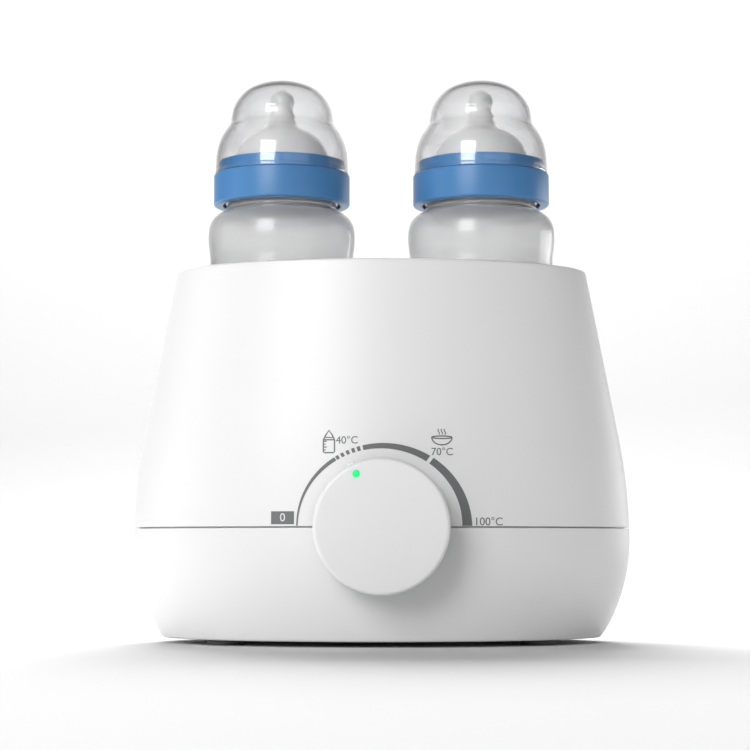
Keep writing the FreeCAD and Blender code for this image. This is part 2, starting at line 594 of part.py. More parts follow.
def light_pipe():
    """Clear ring on the hub, with an arm and a pin that shows as the dot."""
    ring_back = f"({KNOB_BACK} - hub_inset)"
    corners = [("hub_radius", 0), ("pipe_ring", 0), ("pipe_ring", "pipe_thickness"),
               ("hub_radius", "pipe_thickness")]
    ring = turned("pipe_ring_body", corners, 0, ring_back, "parting_height", "front")
    arm = toward_dot("pipe_arm_bar", "pipe_arm", "pipe_ring - 2", "pipe_edge - 1", "pipe_thickness",
                     f"{ring_back} - pipe_thickness")
    x, z = around_knob("dot_offset", "pointer_angle")
    pin = cylinder("pipe_pin", "dot_radius", "knob_depth - hub_inset", x, ring_back, z, "front")
    node("knob_light_pipe", fuse("pipe_solid", ring, arm, pin))


def control_shaft():
    """Shaft from the rotary control into the knob, with a flat for the knob's socket."""
    start = f"({BOARD_FRONT} - board_thickness)"
    tip = f"({KNOB_BACK} - (knob_depth - knob_face) + shaft_end_gap)"
    plain = cylinder("shaft_plain", "shaft_radius", f"({start}) - ({KNOB_BACK})", 0, start,
                     "parting_height", "front")
    flatted = d_section("shaft_flatted", "shaft_radius", "shaft_flat", f"({KNOB_BACK}) - ({tip}) + 1",
                        f"{KNOB_BACK} + 1")
    node("control_shaft", fuse("shaft_solid", plain, flatted))


def bezel():
    """Fixed plug behind the knob, on a plate with four standoffs and two tabs."""
    plug_length = f"({PLATE_BACK}) + ({FRONT} - bezel_recess)"
    plug = cylinder("bezel_plug", "bezel_radius - bezel_clearance", plug_length, 0, PLATE_BACK,
                    "parting_height", "front")
    plate = block("bezel_plate_block", "board_width", "bezel_plate", "board_height", 0, PLATE_FRONT,
                  BOARD_BOTTOM)
    pieces, holes = [plug, plate], []
    for index, (across, height) in enumerate(standoff_places()):
        pieces.append(cylinder(f"standoff{index}", "standoff_radius", "standoff_length", across,
                               BOARD_FRONT, height, "front"))
        holes.append(cylinder(f"standoff_pilot{index}", "board_screw_radius + pilot_clearance",
                              "board_screw_length - board_thickness + 1", across, BOARD_FRONT, height,
                              "front"))
    for name, side in SIDES:
        across = f"{side} * post_across"
        pieces.append(block(f"{name}_tab", "tab_width", "post_reach + post_radius", "bezel_plate", across,
                            PLATE_FRONT, f"{BOARD_BOTTOM} - bezel_plate"))
        holes.append(boss(f"{name}_tab_hole", "board_screw_radius + screw_clearance",
                          f"{BOARD_BOTTOM} - bezel_plate - 1", f"{BOARD_BOTTOM} + 0.5", across,
                          f"{PLATE_FRONT} + post_reach"))
    holes.append(cylinder("bezel_shaft_hole", "bezel_bore", FRONT, 0, BOARD_FRONT, "parting_height",
                          "front"))
    x, z = around_knob("led_offset", "0")
    holes.append(cylinder("bezel_led_hole", "led_radius + led_clearance", FRONT, x, BOARD_FRONT, z,
                          "front"))
    node("knob_bezel", cut("bezel_cut", fuse("bezel_solid", *pieces), *holes))


def board():
    """Control board, with a hole at each standoff."""
    plate = block("board_plate", "board_width", "board_thickness", "board_height", 0, BOARD_FRONT,
                  BOARD_BOTTOM)
    holes = [cylinder(f"board_hole{index}", "board_screw_radius + screw_clearance", "board_thickness * 3",
                      across, f"{BOARD_BACK} + board_thickness", height, "front")
             for index, (across, height) in enumerate(standoff_places())]
    node("control_board", cut("board_cut", plate, *holes))


def board_parts():
    """What is soldered to the control board."""
    body_front = f"({PLATE_BACK} + standoff_length * 0.2)"
    body = block("control_body", "control_width", f"({BOARD_FRONT}) - ({body_front})", "control_width", 0,
                 body_front, "parting_height - control_width / 2")
    bushing = cylinder("control_bushing_bar", "control_bushing", "standoff_length * 0.15", 0, body_front,
                       "parting_height", "front")
    bore = cylinder("control_bore", "shaft_radius + shaft_clearance", "standoff_length * 2", 0,
                    f"({BOARD_FRONT} - board_thickness + shaft_clearance)", "parting_height", "front")
    node("rotary_control", cut("control_cut", fuse("control_solid", body, bushing), bore))

    lens = [(0, 0), ("led_radius", 0), ("led_radius", "led_reach * 0.4", "led_radius"),
            (0, "led_reach * 0.4 + led_radius")]
    x, z = around_knob("led_offset", "0")
    lens_back = f"{BOARD_FRONT} - led_reach * 0.6 + led_radius"
    legs = [cylinder(f"led_leg{index}", "lead_radius", f"({BOARD_FRONT}) - ({lens_back}) + 0.2",
                     f"{x} + {side} * led_radius / 2", BOARD_FRONT, z, "front")
            for index, side in enumerate((-1, 1))]
    node("indicator_led", fuse("led_solid", turned("led_lens", lens, x, lens_back, z, "front"), *legs))

    low = f"{BOARD_BOTTOM} + standoff_inset * 2"
    quarter = "board_width / 4"
    node("relay", block("relay_case", "relay_width", "relay_depth", "relay_height", f"-({quarter})",
                        BOARD_BACK, low))
    node("filter_capacitor", block("capacitor_case", "capacitor_width", "capacitor_depth",
                                   "capacitor_height", quarter, BOARD_BACK, f"{low} + relay_height"))
    case = block("terminal_case", "terminal_pitch * 5", "terminal_depth", "terminal_height", quarter,
                 BOARD_BACK, low)
    bores = [cylinder(f"terminal_bore{way}", "terminal_bore", "terminal_depth * 0.6", terminal_across(way),
                      f"{BOARD_BACK} + terminal_depth * 0.4", f"{low} + terminal_height / 2", "rear")
             for way in range(4)]
    node("terminal_block", cut("terminal_cut", case, *bores))


def terminal_across(way):
    return f"board_width / 4 + {way - 1.5} * terminal_pitch"


def lead(name, way, pin_x, pin_y, pin_z):
    """Insulated wire from one way of the terminal block to a pin of a heating tube."""
    x = terminal_across(way)
    z = f"{BOARD_BOTTOM} + standoff_inset * 2 + terminal_height / 2"
    points = [(x, f"{BOARD_BACK} + terminal_depth * 0.4", z),
              (x, f"{BOARD_BACK} + terminal_depth + wire_bend * 2", z),
              (pin_x, pin_y, z), (pin_x, pin_y, pin_z)]
    corners = [FreeCAD.Vector(*(number(value) for value in point)) for point in points]
    path = rounded_path(corners, number("wire_bend"))
    circle = Part.Circle(corners[0], corners[1] - corners[0], number("wire_radius"))
    wire = doc.addObject("Part::Feature", name)
    wire.Shape = path.makePipeShell([Part.Wire(circle.toShape())], True, False)
    return wire


def rounded_path(corners, bend):
    """Straight runs through the corners, joined by tangent arcs of one radius."""
    edges, start = [], corners[0]
    for before, corner, after in zip(corners, corners[1:], corners[2:]):
        back, ahead = (before - corner).normalize(), (after - corner).normalize()
        half = back.getAngle(ahead) / 2
        trim = bend / math.tan(half)
        middle = corner + (back + ahead).normalize() * (bend / math.sin(half) - bend)
        edges.append(Part.LineSegment(start, corner + back * trim).toShape())
        start = corner + ahead * trim
        edges.append(Part.Arc(corner + back * trim, middle, start).toShape())
    edges.append(Part.LineSegment(start, corners[-1]).toShape())
    return Part.Wire(edges)


# ---------------------------------------------------------------- wells and heaters
def well(name, side):
    """Water well with a corner rounding, a flange on the deck and two studs under its floor."""
    across = f"{side} * {WELL_ACROSS}"
    outside = "(well_radius + well_wall)"
    flange_bottom = f"({DECK} + seal_thickness)"
    flange_top = f"({flange_bottom} + flange_thickness)"
    corner = "(well_corner + well_wall)"
    corners = [(0, WELL_UNDERSIDE), (f"{outside} - {corner}", WELL_UNDERSIDE, corner),
               (outside, f"{WELL_UNDERSIDE} + {corner}"), (outside, flange_bottom),
               (f"{outside} + well_flange", flange_bottom), (f"{outside} + well_flange", flange_top),
               ("well_radius", flange_top),
               ("well_radius", "well_floor_height + well_corner", "-well_corner"),
               ("well_radius - well_corner", "well_floor_height"), (0, "well_floor_height")]
    studs = [cylinder(f"{name}_stud{index}", "stud_radius", "stud_length + well_floor / 2",
                      f"{across} + {end} * stud_offset", 0, f"{WELL_UNDERSIDE} - stud_length")
             for index, end in enumerate((-1, 1))]
    node(f"{name}_well", fuse(f"{name}_well_solid", turned(f"{name}_well_cup", corners, across), *studs))
    seal = [(f"{outside} + well_clearance", DECK), (f"{outside} + well_flange", DECK),
            (f"{outside} + well_flange", flange_bottom), (f"{outside} + well_clearance", flange_bottom)]
    node(f"{name}_well_seal", turned(f"{name}_seal_ring", seal, across))


def heater(name, side):
    """Heater plate under a well, with its tube, thermostat and nuts."""
    across = f"{side} * {WELL_ACROSS}"
    plate_bottom = f"({WELL_UNDERSIDE} - plate_thickness)"
    tube_height = f"({plate_bottom} - tube_radius + tube_bed)"
    ring = doc.addObject("Part::Torus", f"{name}_tube_ring")
    ring.setExpression("Radius1", sized("tube_ring"))
    ring.setExpression("Radius2", sized("tube_radius"))
    ring.setExpression("Angle3", sized("tube_sweep"))
    place(ring, across, 0, tube_height, "up")
    ring.Placement = FreeCAD.Placement(ring.Placement.Base, FreeCAD.Rotation(FreeCAD.Vector(0, 0, 1), 120))
    pieces, leads = [ring], []
    pin_bottom = f"{tube_height} - tube_radius / 2 - pin_length"
    for index, angle in enumerate(("120", "120 + tube_sweep")):
        x, y = f"{across} + tube_ring * cos({angle})", f"tube_ring * sin({angle})"
        pieces.append(cylinder(f"{name}_pin{index}", "pin_radius", "pin_length + tube_radius / 2", x, y,
                               pin_bottom))
        leads.append(lead(f"{name}_lead{index}", (side + 1) + index, x, y, pin_bottom))
    node(f"{name}_heater_leads", group(f"{name}_lead_pair", *leads))
    tube = node(f"{name}_heating_tube", fuse(f"{name}_tube_solid", *pieces))

    disc = cylinder(f"{name}_plate_disc", "plate_radius", "plate_thickness", across, 0, plate_bottom)
    holes = [cylinder(f"{name}_plate_hole{index}", "stud_radius + hole_clearance", "plate_thickness * 2",
                      f"{across} + {end} * stud_offset", 0, f"{plate_bottom} - 1")
             for index, end in enumerate((-1, 1))]
    node(f"{name}_heater_plate", cut(f"{name}_plate_cut", disc, tube, *holes))

    can = [(0, 0), ("thermostat_radius - 1", 0, "1"), ("thermostat_radius", "1"),
           ("thermostat_radius", "thermostat_height"), (0, "thermostat_height")]
    can_bottom = f"{plate_bottom} - thermostat_height"
    blades = [block(f"{name}_blade{index}", "blade_thickness", "blade_width", "blade_length + 0.5",
                    f"{across} + {end} * blade_offset", "-blade_width / 2", f"{can_bottom} - blade_length")
              for index, end in enumerate((-1, 1))]
    node(f"{name}_thermostat", fuse(f"{name}_thermostat_solid",
                                    turned(f"{name}_can", can, across, 0, can_bottom), *blades))
    nuts = [nut(f"{name}_nut{index}", f"{across} + {end} * stud_offset", f"{plate_bottom} - nut_height")
            for index, end in enumerate((-1, 1))]
    node(f"{name}_heater_nuts", group(f"{name}_nut_set", *nuts))


def nut(name, across, bottom):
    """Hexagon nut."""
    prism = doc.addObject("Part::Prism", f"{name}_prism")
    prism.Polygon = 6
    prism.setExpression("Circumradius", sized("nut_across / sqrt(3)"))
    prism.setExpression("Height", sized("nut_height"))
    place(prism, across, 0, bottom, "up")
    bore = cylinder(f"{name}_bore", "stud_radius + pilot_clearance", "nut_height * 2", across, 0,
                    f"{bottom} - 1")
    return cut(name, prism, bore)


# ---------------------------------------------------------------- cord gland
def gland():
    """Strain relief at the back: inner flange, neck, outer flange and tapered tail, with a bore."""
    inner, seat = "gland_flange_thickness", "(gland_flange_thickness + gland_seat)"
    outer = f"({seat} + gland_flange_thickness)"
    tail = f"({outer} + gland_tail)"
    corners = [("gland_bore", 0), ("gland_flange", 0), ("gland_flange", inner), ("gland_neck", inner),
               ("gland_neck", seat), ("gland_flange", seat), ("gland_flange", outer),
               ("gland_tail_root", outer), ("gland_tail_tip", tail), ("gland_bore", tail)]
    inner_end = f"{GLAND_SEAT} - gland_seat - gland_flange_thickness"
    node("cord_gland", turned("gland_body", corners, 0, inner_end, "gland_height", "rear"))


# ---------------------------------------------------------------- feeding bottles
def vessel(name, side):
    """Bottle with a rounded bottom, a swollen shoulder, a groove and a plain neck."""
    base = "well_floor_height"
    swell, wide, top = f"{base} + bulge_start", f"{base} + bulge_height", f"{base} + shoulder_height"
    swell_bend = "((bulge_height - bulge_start)^2 / (bottle_bulge - bottle_radius) + 200) / 2"
    corners = [(0, base), ("bottle_radius - bottle_corner", base, "bottle_corner"),
               ("bottle_radius", f"{base} + bottle_corner"), ("bottle_radius", swell, swell_bend),
               ("bottle_bulge", wide, "shoulder_bend * 1.05"),
               ("bottle_bulge - shoulder_bend * 0.75", top), ("neck_groove", top),
               ("neck_groove", f"{COLLAR_BOTTOM} + collar_round"),
               ("neck_radius", f"{COLLAR_BOTTOM} + collar_round"),
               ("neck_radius", NECK_TOP), ("neck_groove - neck_wall", NECK_TOP),
               ("neck_groove - neck_wall", f"{top} - bottle_wall"),
               ("bottle_bulge - shoulder_bend * 0.75 - bottle_wall / 2", f"{top} - bottle_wall",
                "-shoulder_bend * 1.05 + bottle_wall"),
               ("bottle_bulge - bottle_wall", wide, f"-({swell_bend})"),
               ("bottle_radius - bottle_wall", swell),
               ("bottle_radius - bottle_wall", f"{base} + bottle_corner", "-bottle_corner + bottle_wall"),
               ("bottle_radius - bottle_corner", f"{base} + bottle_floor"), (0, f"{base} + bottle_floor")]
    return node(f"{name}_bottle_vessel", turned(f"{name}_vessel_body", corners, f"{side} * {WELL_ACROSS}"))


def teat(name, side):
    """Silicone teat: flange, broad dome, narrow throat and rounded tip, hollow throughout."""
    seat, shoulder, tip = NECK_TOP, f"{NECK_TOP} + teat_shoulder", f"{NECK_TOP} + teat_height"
    dome = "(collar_opening - teat_clearance)"
    throat = f"{NECK_TOP} + teat_height - teat_bulb * 2"
    corners = [(f"{dome} - teat_wall", seat), ("teat_flange", seat),
               ("teat_flange", f"{seat} + flange_depth"),
               (dome, f"{seat} + flange_depth", "teat_shoulder * 1.45"),
               ("teat_throat * 1.7", shoulder, "-teat_throat"),
               ("teat_throat", f"{shoulder} + teat_throat * 0.9"), ("teat_throat", throat, "teat_bulb * 2"),
               ("teat_bulb", f"{tip} - teat_bulb", "teat_bulb"), (0, tip), (0, f"{tip} - teat_wall"),
               ("teat_throat - teat_wall", f"{tip} - teat_throat"),
               ("teat_throat - teat_wall", f"{shoulder} + teat_throat * 0.9 - teat_wall"),
               ("teat_throat * 1.7 - teat_wall / 2", f"{shoulder} - teat_wall * 1.2",
                "-teat_shoulder * 1.4"),
               (f"{dome} - teat_wall", f"{seat} + flange_depth")]
    return node(f"{name}_bottle_teat", turned(f"{name}_teat_body", corners, f"{side} * {WELL_ACROSS}"))


def collar(name, side):
    """Screw collar in two bands, with a lip over the teat's flange."""
    top = f"{CAP_SEAT} + collar_rise"
    inside = "(neck_radius + thread_clearance)"
    clamp = "(teat_flange + teat_clearance)"
    corners = [(inside, COLLAR_BOTTOM), ("collar_radius - collar_round", COLLAR_BOTTOM, "collar_round"),
               ("collar_radius", f"{COLLAR_BOTTOM} + collar_round"),
               ("collar_radius", f"{CAP_SEAT} - collar_round", "collar_round"),
               ("collar_radius - collar_round", CAP_SEAT), ("collar_step", CAP_SEAT),
               ("collar_step", f"{top} - collar_round", "collar_round"),
               ("collar_step - collar_round", top),
               ("collar_opening", top), ("collar_opening", f"{top} - collar_lip"),
               (clamp, f"{top} - collar_lip"), (clamp, f"{NECK_TOP} - 0.6"), (inside, f"{NECK_TOP} - 0.6")]
    return node(f"{name}_bottle_collar", turned(f"{name}_collar_body", corners, f"{side} * {WELL_ACROSS}"))


def cap(name, side):
    """Clear travel cap: bell, waist and a dome whose side flows into a flatter crown."""
    inside = "(collar_step + cap_clearance)"
    waist, dome = f"{CAP_SEAT} + cap_waist_height", f"{CAP_SEAT} + cap_dome_height"
    top = f"{CAP_SEAT} + cap_height"
    straight = f"{CAP_SEAT} + collar_rise / 2"
    rise = "(cap_height - cap_dome_height)"
    centre = "(cap_dome - cap_dome_side)"
    crown = f"(({centre}^2 + {rise}^2 - cap_dome_side^2) / (2 * ({rise} - cap_dome_side)))"
    drop = f"({crown} - {rise})"
    reach = f"sqrt({centre}^2 + {drop}^2)"

    def shoulder(radius):
        """Where the dome's side, at a radius, meets its crown."""
        return f"{centre} + ({radius}) * {centre} / {reach}", f"{dome} + ({radius}) * {drop} / {reach}"

    corners = [(inside, CAP_SEAT), (f"{inside} + cap_wall", CAP_SEAT),
               (f"{inside} + cap_wall", straight, "cap_bell_bend"), ("cap_waist", waist),
               ("cap_dome", dome, "cap_dome_side"), (*shoulder("cap_dome_side"), crown),
               (0, top), (0, f"{top} - cap_wall", f"-({crown} - cap_wall)"),
               (*shoulder("cap_dome_side - cap_wall"), "-(cap_dome_side - cap_wall)"),
               ("cap_dome - cap_wall", dome), ("cap_waist - cap_wall", waist, "-cap_bell_bend"),
               (inside, f"{straight} + cap_wall")]
    return node(f"{name}_bottle_cap", turned(f"{name}_cap_body", corners, f"{side} * {WELL_ACROSS}"))


# ---------------------------------------------------------------- the whole object
def build():
    fill_sheet()
    housings()
    feet()
    fasteners()
    knob()
    light_pipe()
    control_shaft()
    bezel()
    board()
    board_parts()
    gland()
    for name, side in SIDES:
        well(name, side)
        heater(name, side)
        for piece in (vessel, teat, collar, cap):
            piece(name, side)
    doc.recompute()


def write():
    """Check every object, then write each sub-part to its own file."""
    failed = [thing.Name for thing in doc.Objects if {"Invalid", "Error"} & set(thing.State)]
    bad = [thing.Label for thing in nodes if thing.Shape.isNull() or not thing.Shape.isValid()]
    if failed or bad:
        raise RuntimeError(f"failed objects {failed}, bad shapes {bad}")
    os.makedirs("parts", exist_ok=True)
    for thing in nodes:
        thing.Shape.exportStep(f"parts/{thing.Label}.step")
        print(f"{thing.Label}: {len(thing.Shape.Solids)} solid, {thing.Shape.Volume:.0f} mm3")


build()
write()
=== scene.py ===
"""Twin bottle warmer with two feeding bottles: its looks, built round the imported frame. Metres."""
import math
import bmesh
import bpy
from mathutils import Matrix, Vector


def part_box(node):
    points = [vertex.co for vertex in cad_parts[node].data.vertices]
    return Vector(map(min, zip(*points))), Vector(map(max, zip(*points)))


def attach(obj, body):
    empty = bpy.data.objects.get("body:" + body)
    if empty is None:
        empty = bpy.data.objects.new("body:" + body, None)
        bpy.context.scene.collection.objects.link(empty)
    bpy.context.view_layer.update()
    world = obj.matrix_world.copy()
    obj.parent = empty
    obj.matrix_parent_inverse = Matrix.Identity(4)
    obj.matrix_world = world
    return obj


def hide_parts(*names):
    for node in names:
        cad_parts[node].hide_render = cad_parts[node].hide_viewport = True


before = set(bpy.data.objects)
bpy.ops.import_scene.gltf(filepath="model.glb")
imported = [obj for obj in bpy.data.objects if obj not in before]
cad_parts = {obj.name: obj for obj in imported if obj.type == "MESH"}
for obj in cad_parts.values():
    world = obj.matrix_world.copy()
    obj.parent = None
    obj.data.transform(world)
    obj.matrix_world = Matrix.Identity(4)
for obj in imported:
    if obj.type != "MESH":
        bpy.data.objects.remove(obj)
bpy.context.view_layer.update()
MM = 0.001

# ---------------------------------------------------------------- sizes of the housing's form
BELLY_HEIGHT = 46 * MM
UPPER_BEND = 250 * MM
LOWER_BEND = 77 * MM
SIDE_DRAFT = math.radians(10.8)
WALL = 2.5 * MM
HALF_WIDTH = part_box("lower_housing")[1].x
HALF_DEPTH = -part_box("lower_housing")[0].y
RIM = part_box("upper_housing")[1].z
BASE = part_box("lower_housing")[0].z
PARTING_GAP = 0.6 * MM
UPPER_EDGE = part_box("upper_housing")[0].z + PARTING_GAP / 2
DECK = RIM - 4 * MM
DECK_THICKNESS = 2.5 * MM
FLOOR = BASE + 3 * MM
KNOB_LOW, KNOB_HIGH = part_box("knob")
KNOB_HEIGHT = 52 * MM
KNOB_RADIUS = 29 * MM
KNOB_BACK = KNOB_HIGH.y
KNOB_FACE = KNOB_LOW.y
KNOB_DEPTH = KNOB_BACK - KNOB_FACE
KNOB_HUB = 8 * MM
KNOB_OPENING = 24 * MM
DOT_REACH = 24.6 * MM
POINTER_ANGLE = math.radians(25.7)
WELL_LOW, WELL_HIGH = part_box("right_well_seal")
WELL_ACROSS = (WELL_LOW.x + WELL_HIGH.x) / 2
WELL_REACH = WELL_HIGH.x - WELL_ACROSS
WELL_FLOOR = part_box("right_bottle_vessel")[0].z
SIDES = (("left", -1), ("right", 1))
SHELL_EDGE = 0.35 * MM
SCREW_REACH = 42 * MM
FOOT_ACROSS, FOOT_ALONG = 70 * MM, 26 * MM
VENT_PITCH, VENT_ALONG = 7 * MM, 18.2 * MM
GLAND_HEIGHT = 18 * MM


# ---------------------------------------------------------------- node trees
def add(tree, kind, inputs=None, **settings):
    """A new node with its settings and its plain input values; a socket given as a value is linked."""
    node = tree.nodes.new(kind)
    for key, value in settings.items():
        setattr(node, key, value)
    for key, value in (inputs or {}).items():
        if isinstance(value, bpy.types.NodeSocket):
            tree.links.new(value, node.inputs[key])
        else:
            node.inputs[key].default_value = value
    return node


def maths(tree, operation, *values, **settings):
    """A sum on plain values or sockets; returns the socket that it comes out of."""
    return add(tree, "ShaderNodeMath", dict(enumerate(values)), operation=operation, **settings).outputs[0]


def geometry_tree(name, sockets):
    """An empty geometry tree with its inputs; returns the tree, its input node and its output node."""
    tree = bpy.data.node_groups.new(name, "GeometryNodeTree")
    tree.interface.new_socket("Geometry", in_out="INPUT", socket_type="NodeSocketGeometry")
    for label, kind in sockets:
        tree.interface.new_socket(label, in_out="INPUT", socket_type=kind)
    tree.interface.new_socket("Geometry", in_out="OUTPUT", socket_type="NodeSocketGeometry")
    return tree, tree.nodes.new("NodeGroupInput"), tree.nodes.new("NodeGroupOutput")


def close_tree(tree, shape, material, output):
    """End a tree with Realize Instances and Set Material."""
    real = add(tree, "GeometryNodeRealizeInstances", {"Geometry": shape})
    finish = add(tree, "GeometryNodeSetMaterial", {"Geometry": real.outputs[0], "Material": material})
    tree.links.new(finish.outputs[0], output.inputs[0])


def turning_tree():
    """Turns a chain of points about Z. A point's x and y are its reach across and along."""
    tree, given, output = geometry_tree("turned_form", [("Segments", "NodeSocketInt"),
                                                        ("Material", "NodeSocketMaterial")])
    count = add(tree, "GeometryNodeAttributeDomainSize", {"Geometry": given.outputs["Geometry"]})
    columns = add(tree, "FunctionNodeIntegerMath", {0: given.outputs["Segments"], 1: 1}, operation="ADD")
    grid = add(tree, "GeometryNodeMeshGrid", {"Vertices X": columns.outputs[0],
                                              "Vertices Y": count.outputs["Point Count"]})
    index = add(tree, "GeometryNodeInputIndex")
    along = add(tree, "FunctionNodeIntegerMath", {0: index.outputs[0], 1: count.outputs["Point Count"]},
                operation="MODULO")
    around = add(tree, "FunctionNodeIntegerMath", {0: index.outputs[0], 1: count.outputs["Point Count"]},
                 operation="DIVIDE_FLOOR")
    place = add(tree, "GeometryNodeInputPosition")
    sample = add(tree, "GeometryNodeSampleIndex", {"Geometry": given.outputs["Geometry"],
                                                   "Value": place.outputs[0], "Index": along.outputs[0]},
                 data_type="FLOAT_VECTOR")
    share = maths(tree, "DIVIDE", around.outputs[0], given.outputs["Segments"])
    angle = maths(tree, "MULTIPLY", share, math.tau)
    split = add(tree, "ShaderNodeSeparateXYZ", {0: sample.outputs["Value"]})
    parts = []
    for reach, turn in (("X", "COSINE"), ("Y", "SINE")):
        wave = maths(tree, turn, angle)
        parts.append(maths(tree, "MULTIPLY", split.outputs[reach], wave))
    joined = add(tree, "ShaderNodeCombineXYZ", {0: parts[0], 1: parts[1], 2: split.outputs["Z"]})
    moved = add(tree, "GeometryNodeSetPosition", {"Geometry": grid.outputs["Mesh"],
                                                  "Position": joined.outputs[0]})
    merged = add(tree, "GeometryNodeMergeByDistance", {"Geometry": moved.outputs[0],
                                                       "Distance": 0.001 * MM})
    close_tree(tree, merged.outputs[0], given.outputs["Material"], output)
    return tree


def repeating_tree():
    """Sets a copy of one piece on every point, each turned about Z by its own random angle."""
    tree, given, output = geometry_tree("repeated_piece", [("Piece", "NodeSocketObject"),
                                                           ("Most Turn", "NodeSocketFloat"),
                                                           ("Seed", "NodeSocketInt"),
                                                           ("Material", "NodeSocketMaterial")])
    piece = add(tree, "GeometryNodeObjectInfo", {"Object": given.outputs["Piece"]})
    turn = add(tree, "FunctionNodeRandomValue", {"Max": given.outputs["Most Turn"],
                                                 "Seed": given.outputs["Seed"]}, data_type="FLOAT")
    lean = add(tree, "ShaderNodeCombineXYZ", {2: turn.outputs["Value"]})
    copies = add(tree, "GeometryNodeInstanceOnPoints", {"Points": given.outputs["Geometry"],
                                                        "Instance": piece.outputs["Geometry"],
                                                        "Rotation": lean.outputs[0]})
    close_tree(tree, copies.outputs[0], given.outputs["Material"], output)
    return tree


def coiling_tree():
    """A round ridge that winds up a neck: a helix, swept with a small circle."""
    tree, given, output = geometry_tree("wound_ridge", [("Turns", "NodeSocketFloat"),
                                                        ("Radius", "NodeSocketFloat"),
                                                        ("Rise", "NodeSocketFloat"),
                                                        ("Thickness", "NodeSocketFloat"),
                                                        ("Material", "NodeSocketMaterial")])
    helix = add(tree, "GeometryNodeCurveSpiral", {"Resolution": 72, "Rotations": given.outputs["Turns"],
                                                  "Start Radius": given.outputs["Radius"],
                                                  "End Radius": given.outputs["Radius"],
                                                  "Height": given.outputs["Rise"]})
    ring = add(tree, "GeometryNodeCurvePrimitiveCircle", {"Resolution": 10,
                                                          "Radius": given.outputs["Thickness"]})
    ridge = add(tree, "GeometryNodeCurveToMesh", {"Curve": helix.outputs[0], "Profile Curve": ring.outputs[0],
                                                  "Fill Caps": True})
    close_tree(tree, ridge.outputs[0], given.outputs["Material"], output)
    return tree


TURNING, REPEATING, COILING = turning_tree(), repeating_tree(), coiling_tree()


# ---------------------------------------------------------------- mesh helpers
def new_object(name, mesh):
    """An object in the scene that holds this mesh, light, lens or text."""
    thing = bpy.data.objects.new(name, mesh)
    bpy.context.scene.collection.objects.link(thing)
    return thing


def chain(name, points):
    """An object whose mesh is a chain of points."""
    mesh = bpy.data.meshes.new(name)
    mesh.from_pydata([tuple(point) for point in points], [(i, i + 1) for i in range(len(points) - 1)], [])
    return new_object(name, mesh)


def plain_mesh(thing):
    """A new mesh with all that an object's text or modifiers make."""
    bpy.context.view_layer.update()
    return bpy.data.meshes.new_from_object(thing.evaluated_get(bpy.context.evaluated_depsgraph_get()))


def settle(thing):
    """Turn an object's modifiers into its plain mesh."""
    mesh, old = plain_mesh(thing), thing.data
    thing.modifiers.clear()
    thing.data = mesh
    bpy.data.meshes.remove(old)
    return thing


def grown(thing, tree, **inputs):
    """Run a geometry tree on an object and keep the result as its mesh."""
    modifier = thing.modifiers.new(tree.name, "NODES")
    modifier.node_group = tree
    for item in tree.interface.items_tree:
        if item.in_out == "INPUT" and item.name.replace(" ", "_") in inputs:
            modifier[item.identifier] = inputs[item.name.replace(" ", "_")]
    return settle(thing)


def smooth(thing, angle=38):
    """Smooth shading that keeps edges sharper than the angle."""
    for face in thing.data.polygons:
        face.use_smooth = True
    thing.data.set_sharp_from_angle(angle=math.radians(angle))
    return thing


def moved(thing, x=0.0, y=0.0, z=0.0, facing="up"):
    """Turn a mesh so that its own Z faces up, down, to the front or to the rear, then move it."""
    tilt = {"up": 0, "front": 90, "rear": -90, "down": 180}[facing]
    thing.data.transform(Matrix.Translation((x, y, z)) @ Matrix.Rotation(math.radians(tilt), 4, "X"))
    return thing


def rounded(corners, steps=6):
    """Round the corners of an outline. A corner is (reach, height) or (reach, height, rounding)."""
    points = [Vector((corner[0], corner[1])) for corner in corners]
    result = []
    for index, corner in enumerate(corners):
        here, radius = points[index], corner[2] if len(corner) > 2 else 0
        if not radius:
            result.append(here)
            continue
        back = (points[index - 1] - here).normalized()
        ahead = (points[(index + 1) % len(points)] - here).normalized()
        half = back.angle(ahead) / 2
        centre = here + (back + ahead).normalized() * radius / math.sin(half)
        start = here + back * radius / math.tan(half) - centre
        sweep = (math.pi - 2 * half) * (1 if back.cross(ahead) < 0 else -1)
        for step in range(steps + 1):
            result.append(centre + Matrix.Rotation(sweep * step / steps, 2) @ start)
    return result


def curve_through(points, steps=8):
    """A smooth line through points, which leaves and meets the end points straight."""
    ends = [points[0] * 2 - points[1]] + points + [points[-1] * 2 - points[-2]]
    result = []
    for a, b, c, d in zip(ends, ends[1:], ends[2:], ends[3:]):
        for step in range(steps):
            t = step / steps
            result.append(0.5 * (2 * b + (c - a) * t + (2 * a - 5 * b + 4 * c - d) * t ** 2
                                 + (3 * b - a - 3 * c + d) * t ** 3))
    return result + [points[-1]]


def above(level, *pairs):
    """Points of an outline, each given by its reach and its height over a level, in millimetres."""
    return [Vector((reach * MM, level + height * MM)) for reach, height in pairs]


def four_places(across, along, height=0.0):
    """The places that far to either side and that far to the front and the rear."""
    return [(side * across, end * along, height) for side in (-1, 1) for end in (-1, 1)]


def inset(line, wall):
    """The inner side of a wall whose outer line runs anticlockwise."""
    inner = []
    for before, point, after in zip([line[0]] + line, line, line[1:] + [line[-1]]):
        along = (after - before).normalized()
        inner.append(point + Vector((-along.y, along.x)) * wall)
    return inner


def turned(name, outline, material, segments=96, oval=None):
    """A closed solid turned from an outline that runs anticlockwise. Oval gives the reach along Y."""
    oval = oval or (lambda reach, height: reach)
    points = [(point[0], oval(point[0], point[1]), point[1]) for point in outline]
    if abs(points[0][0]) > 1e-7:
        points.append(points[0])
    thing = grown(chain(name, points), TURNING, Segments=segments, Material=material)
    return smooth(recalculated(thing))


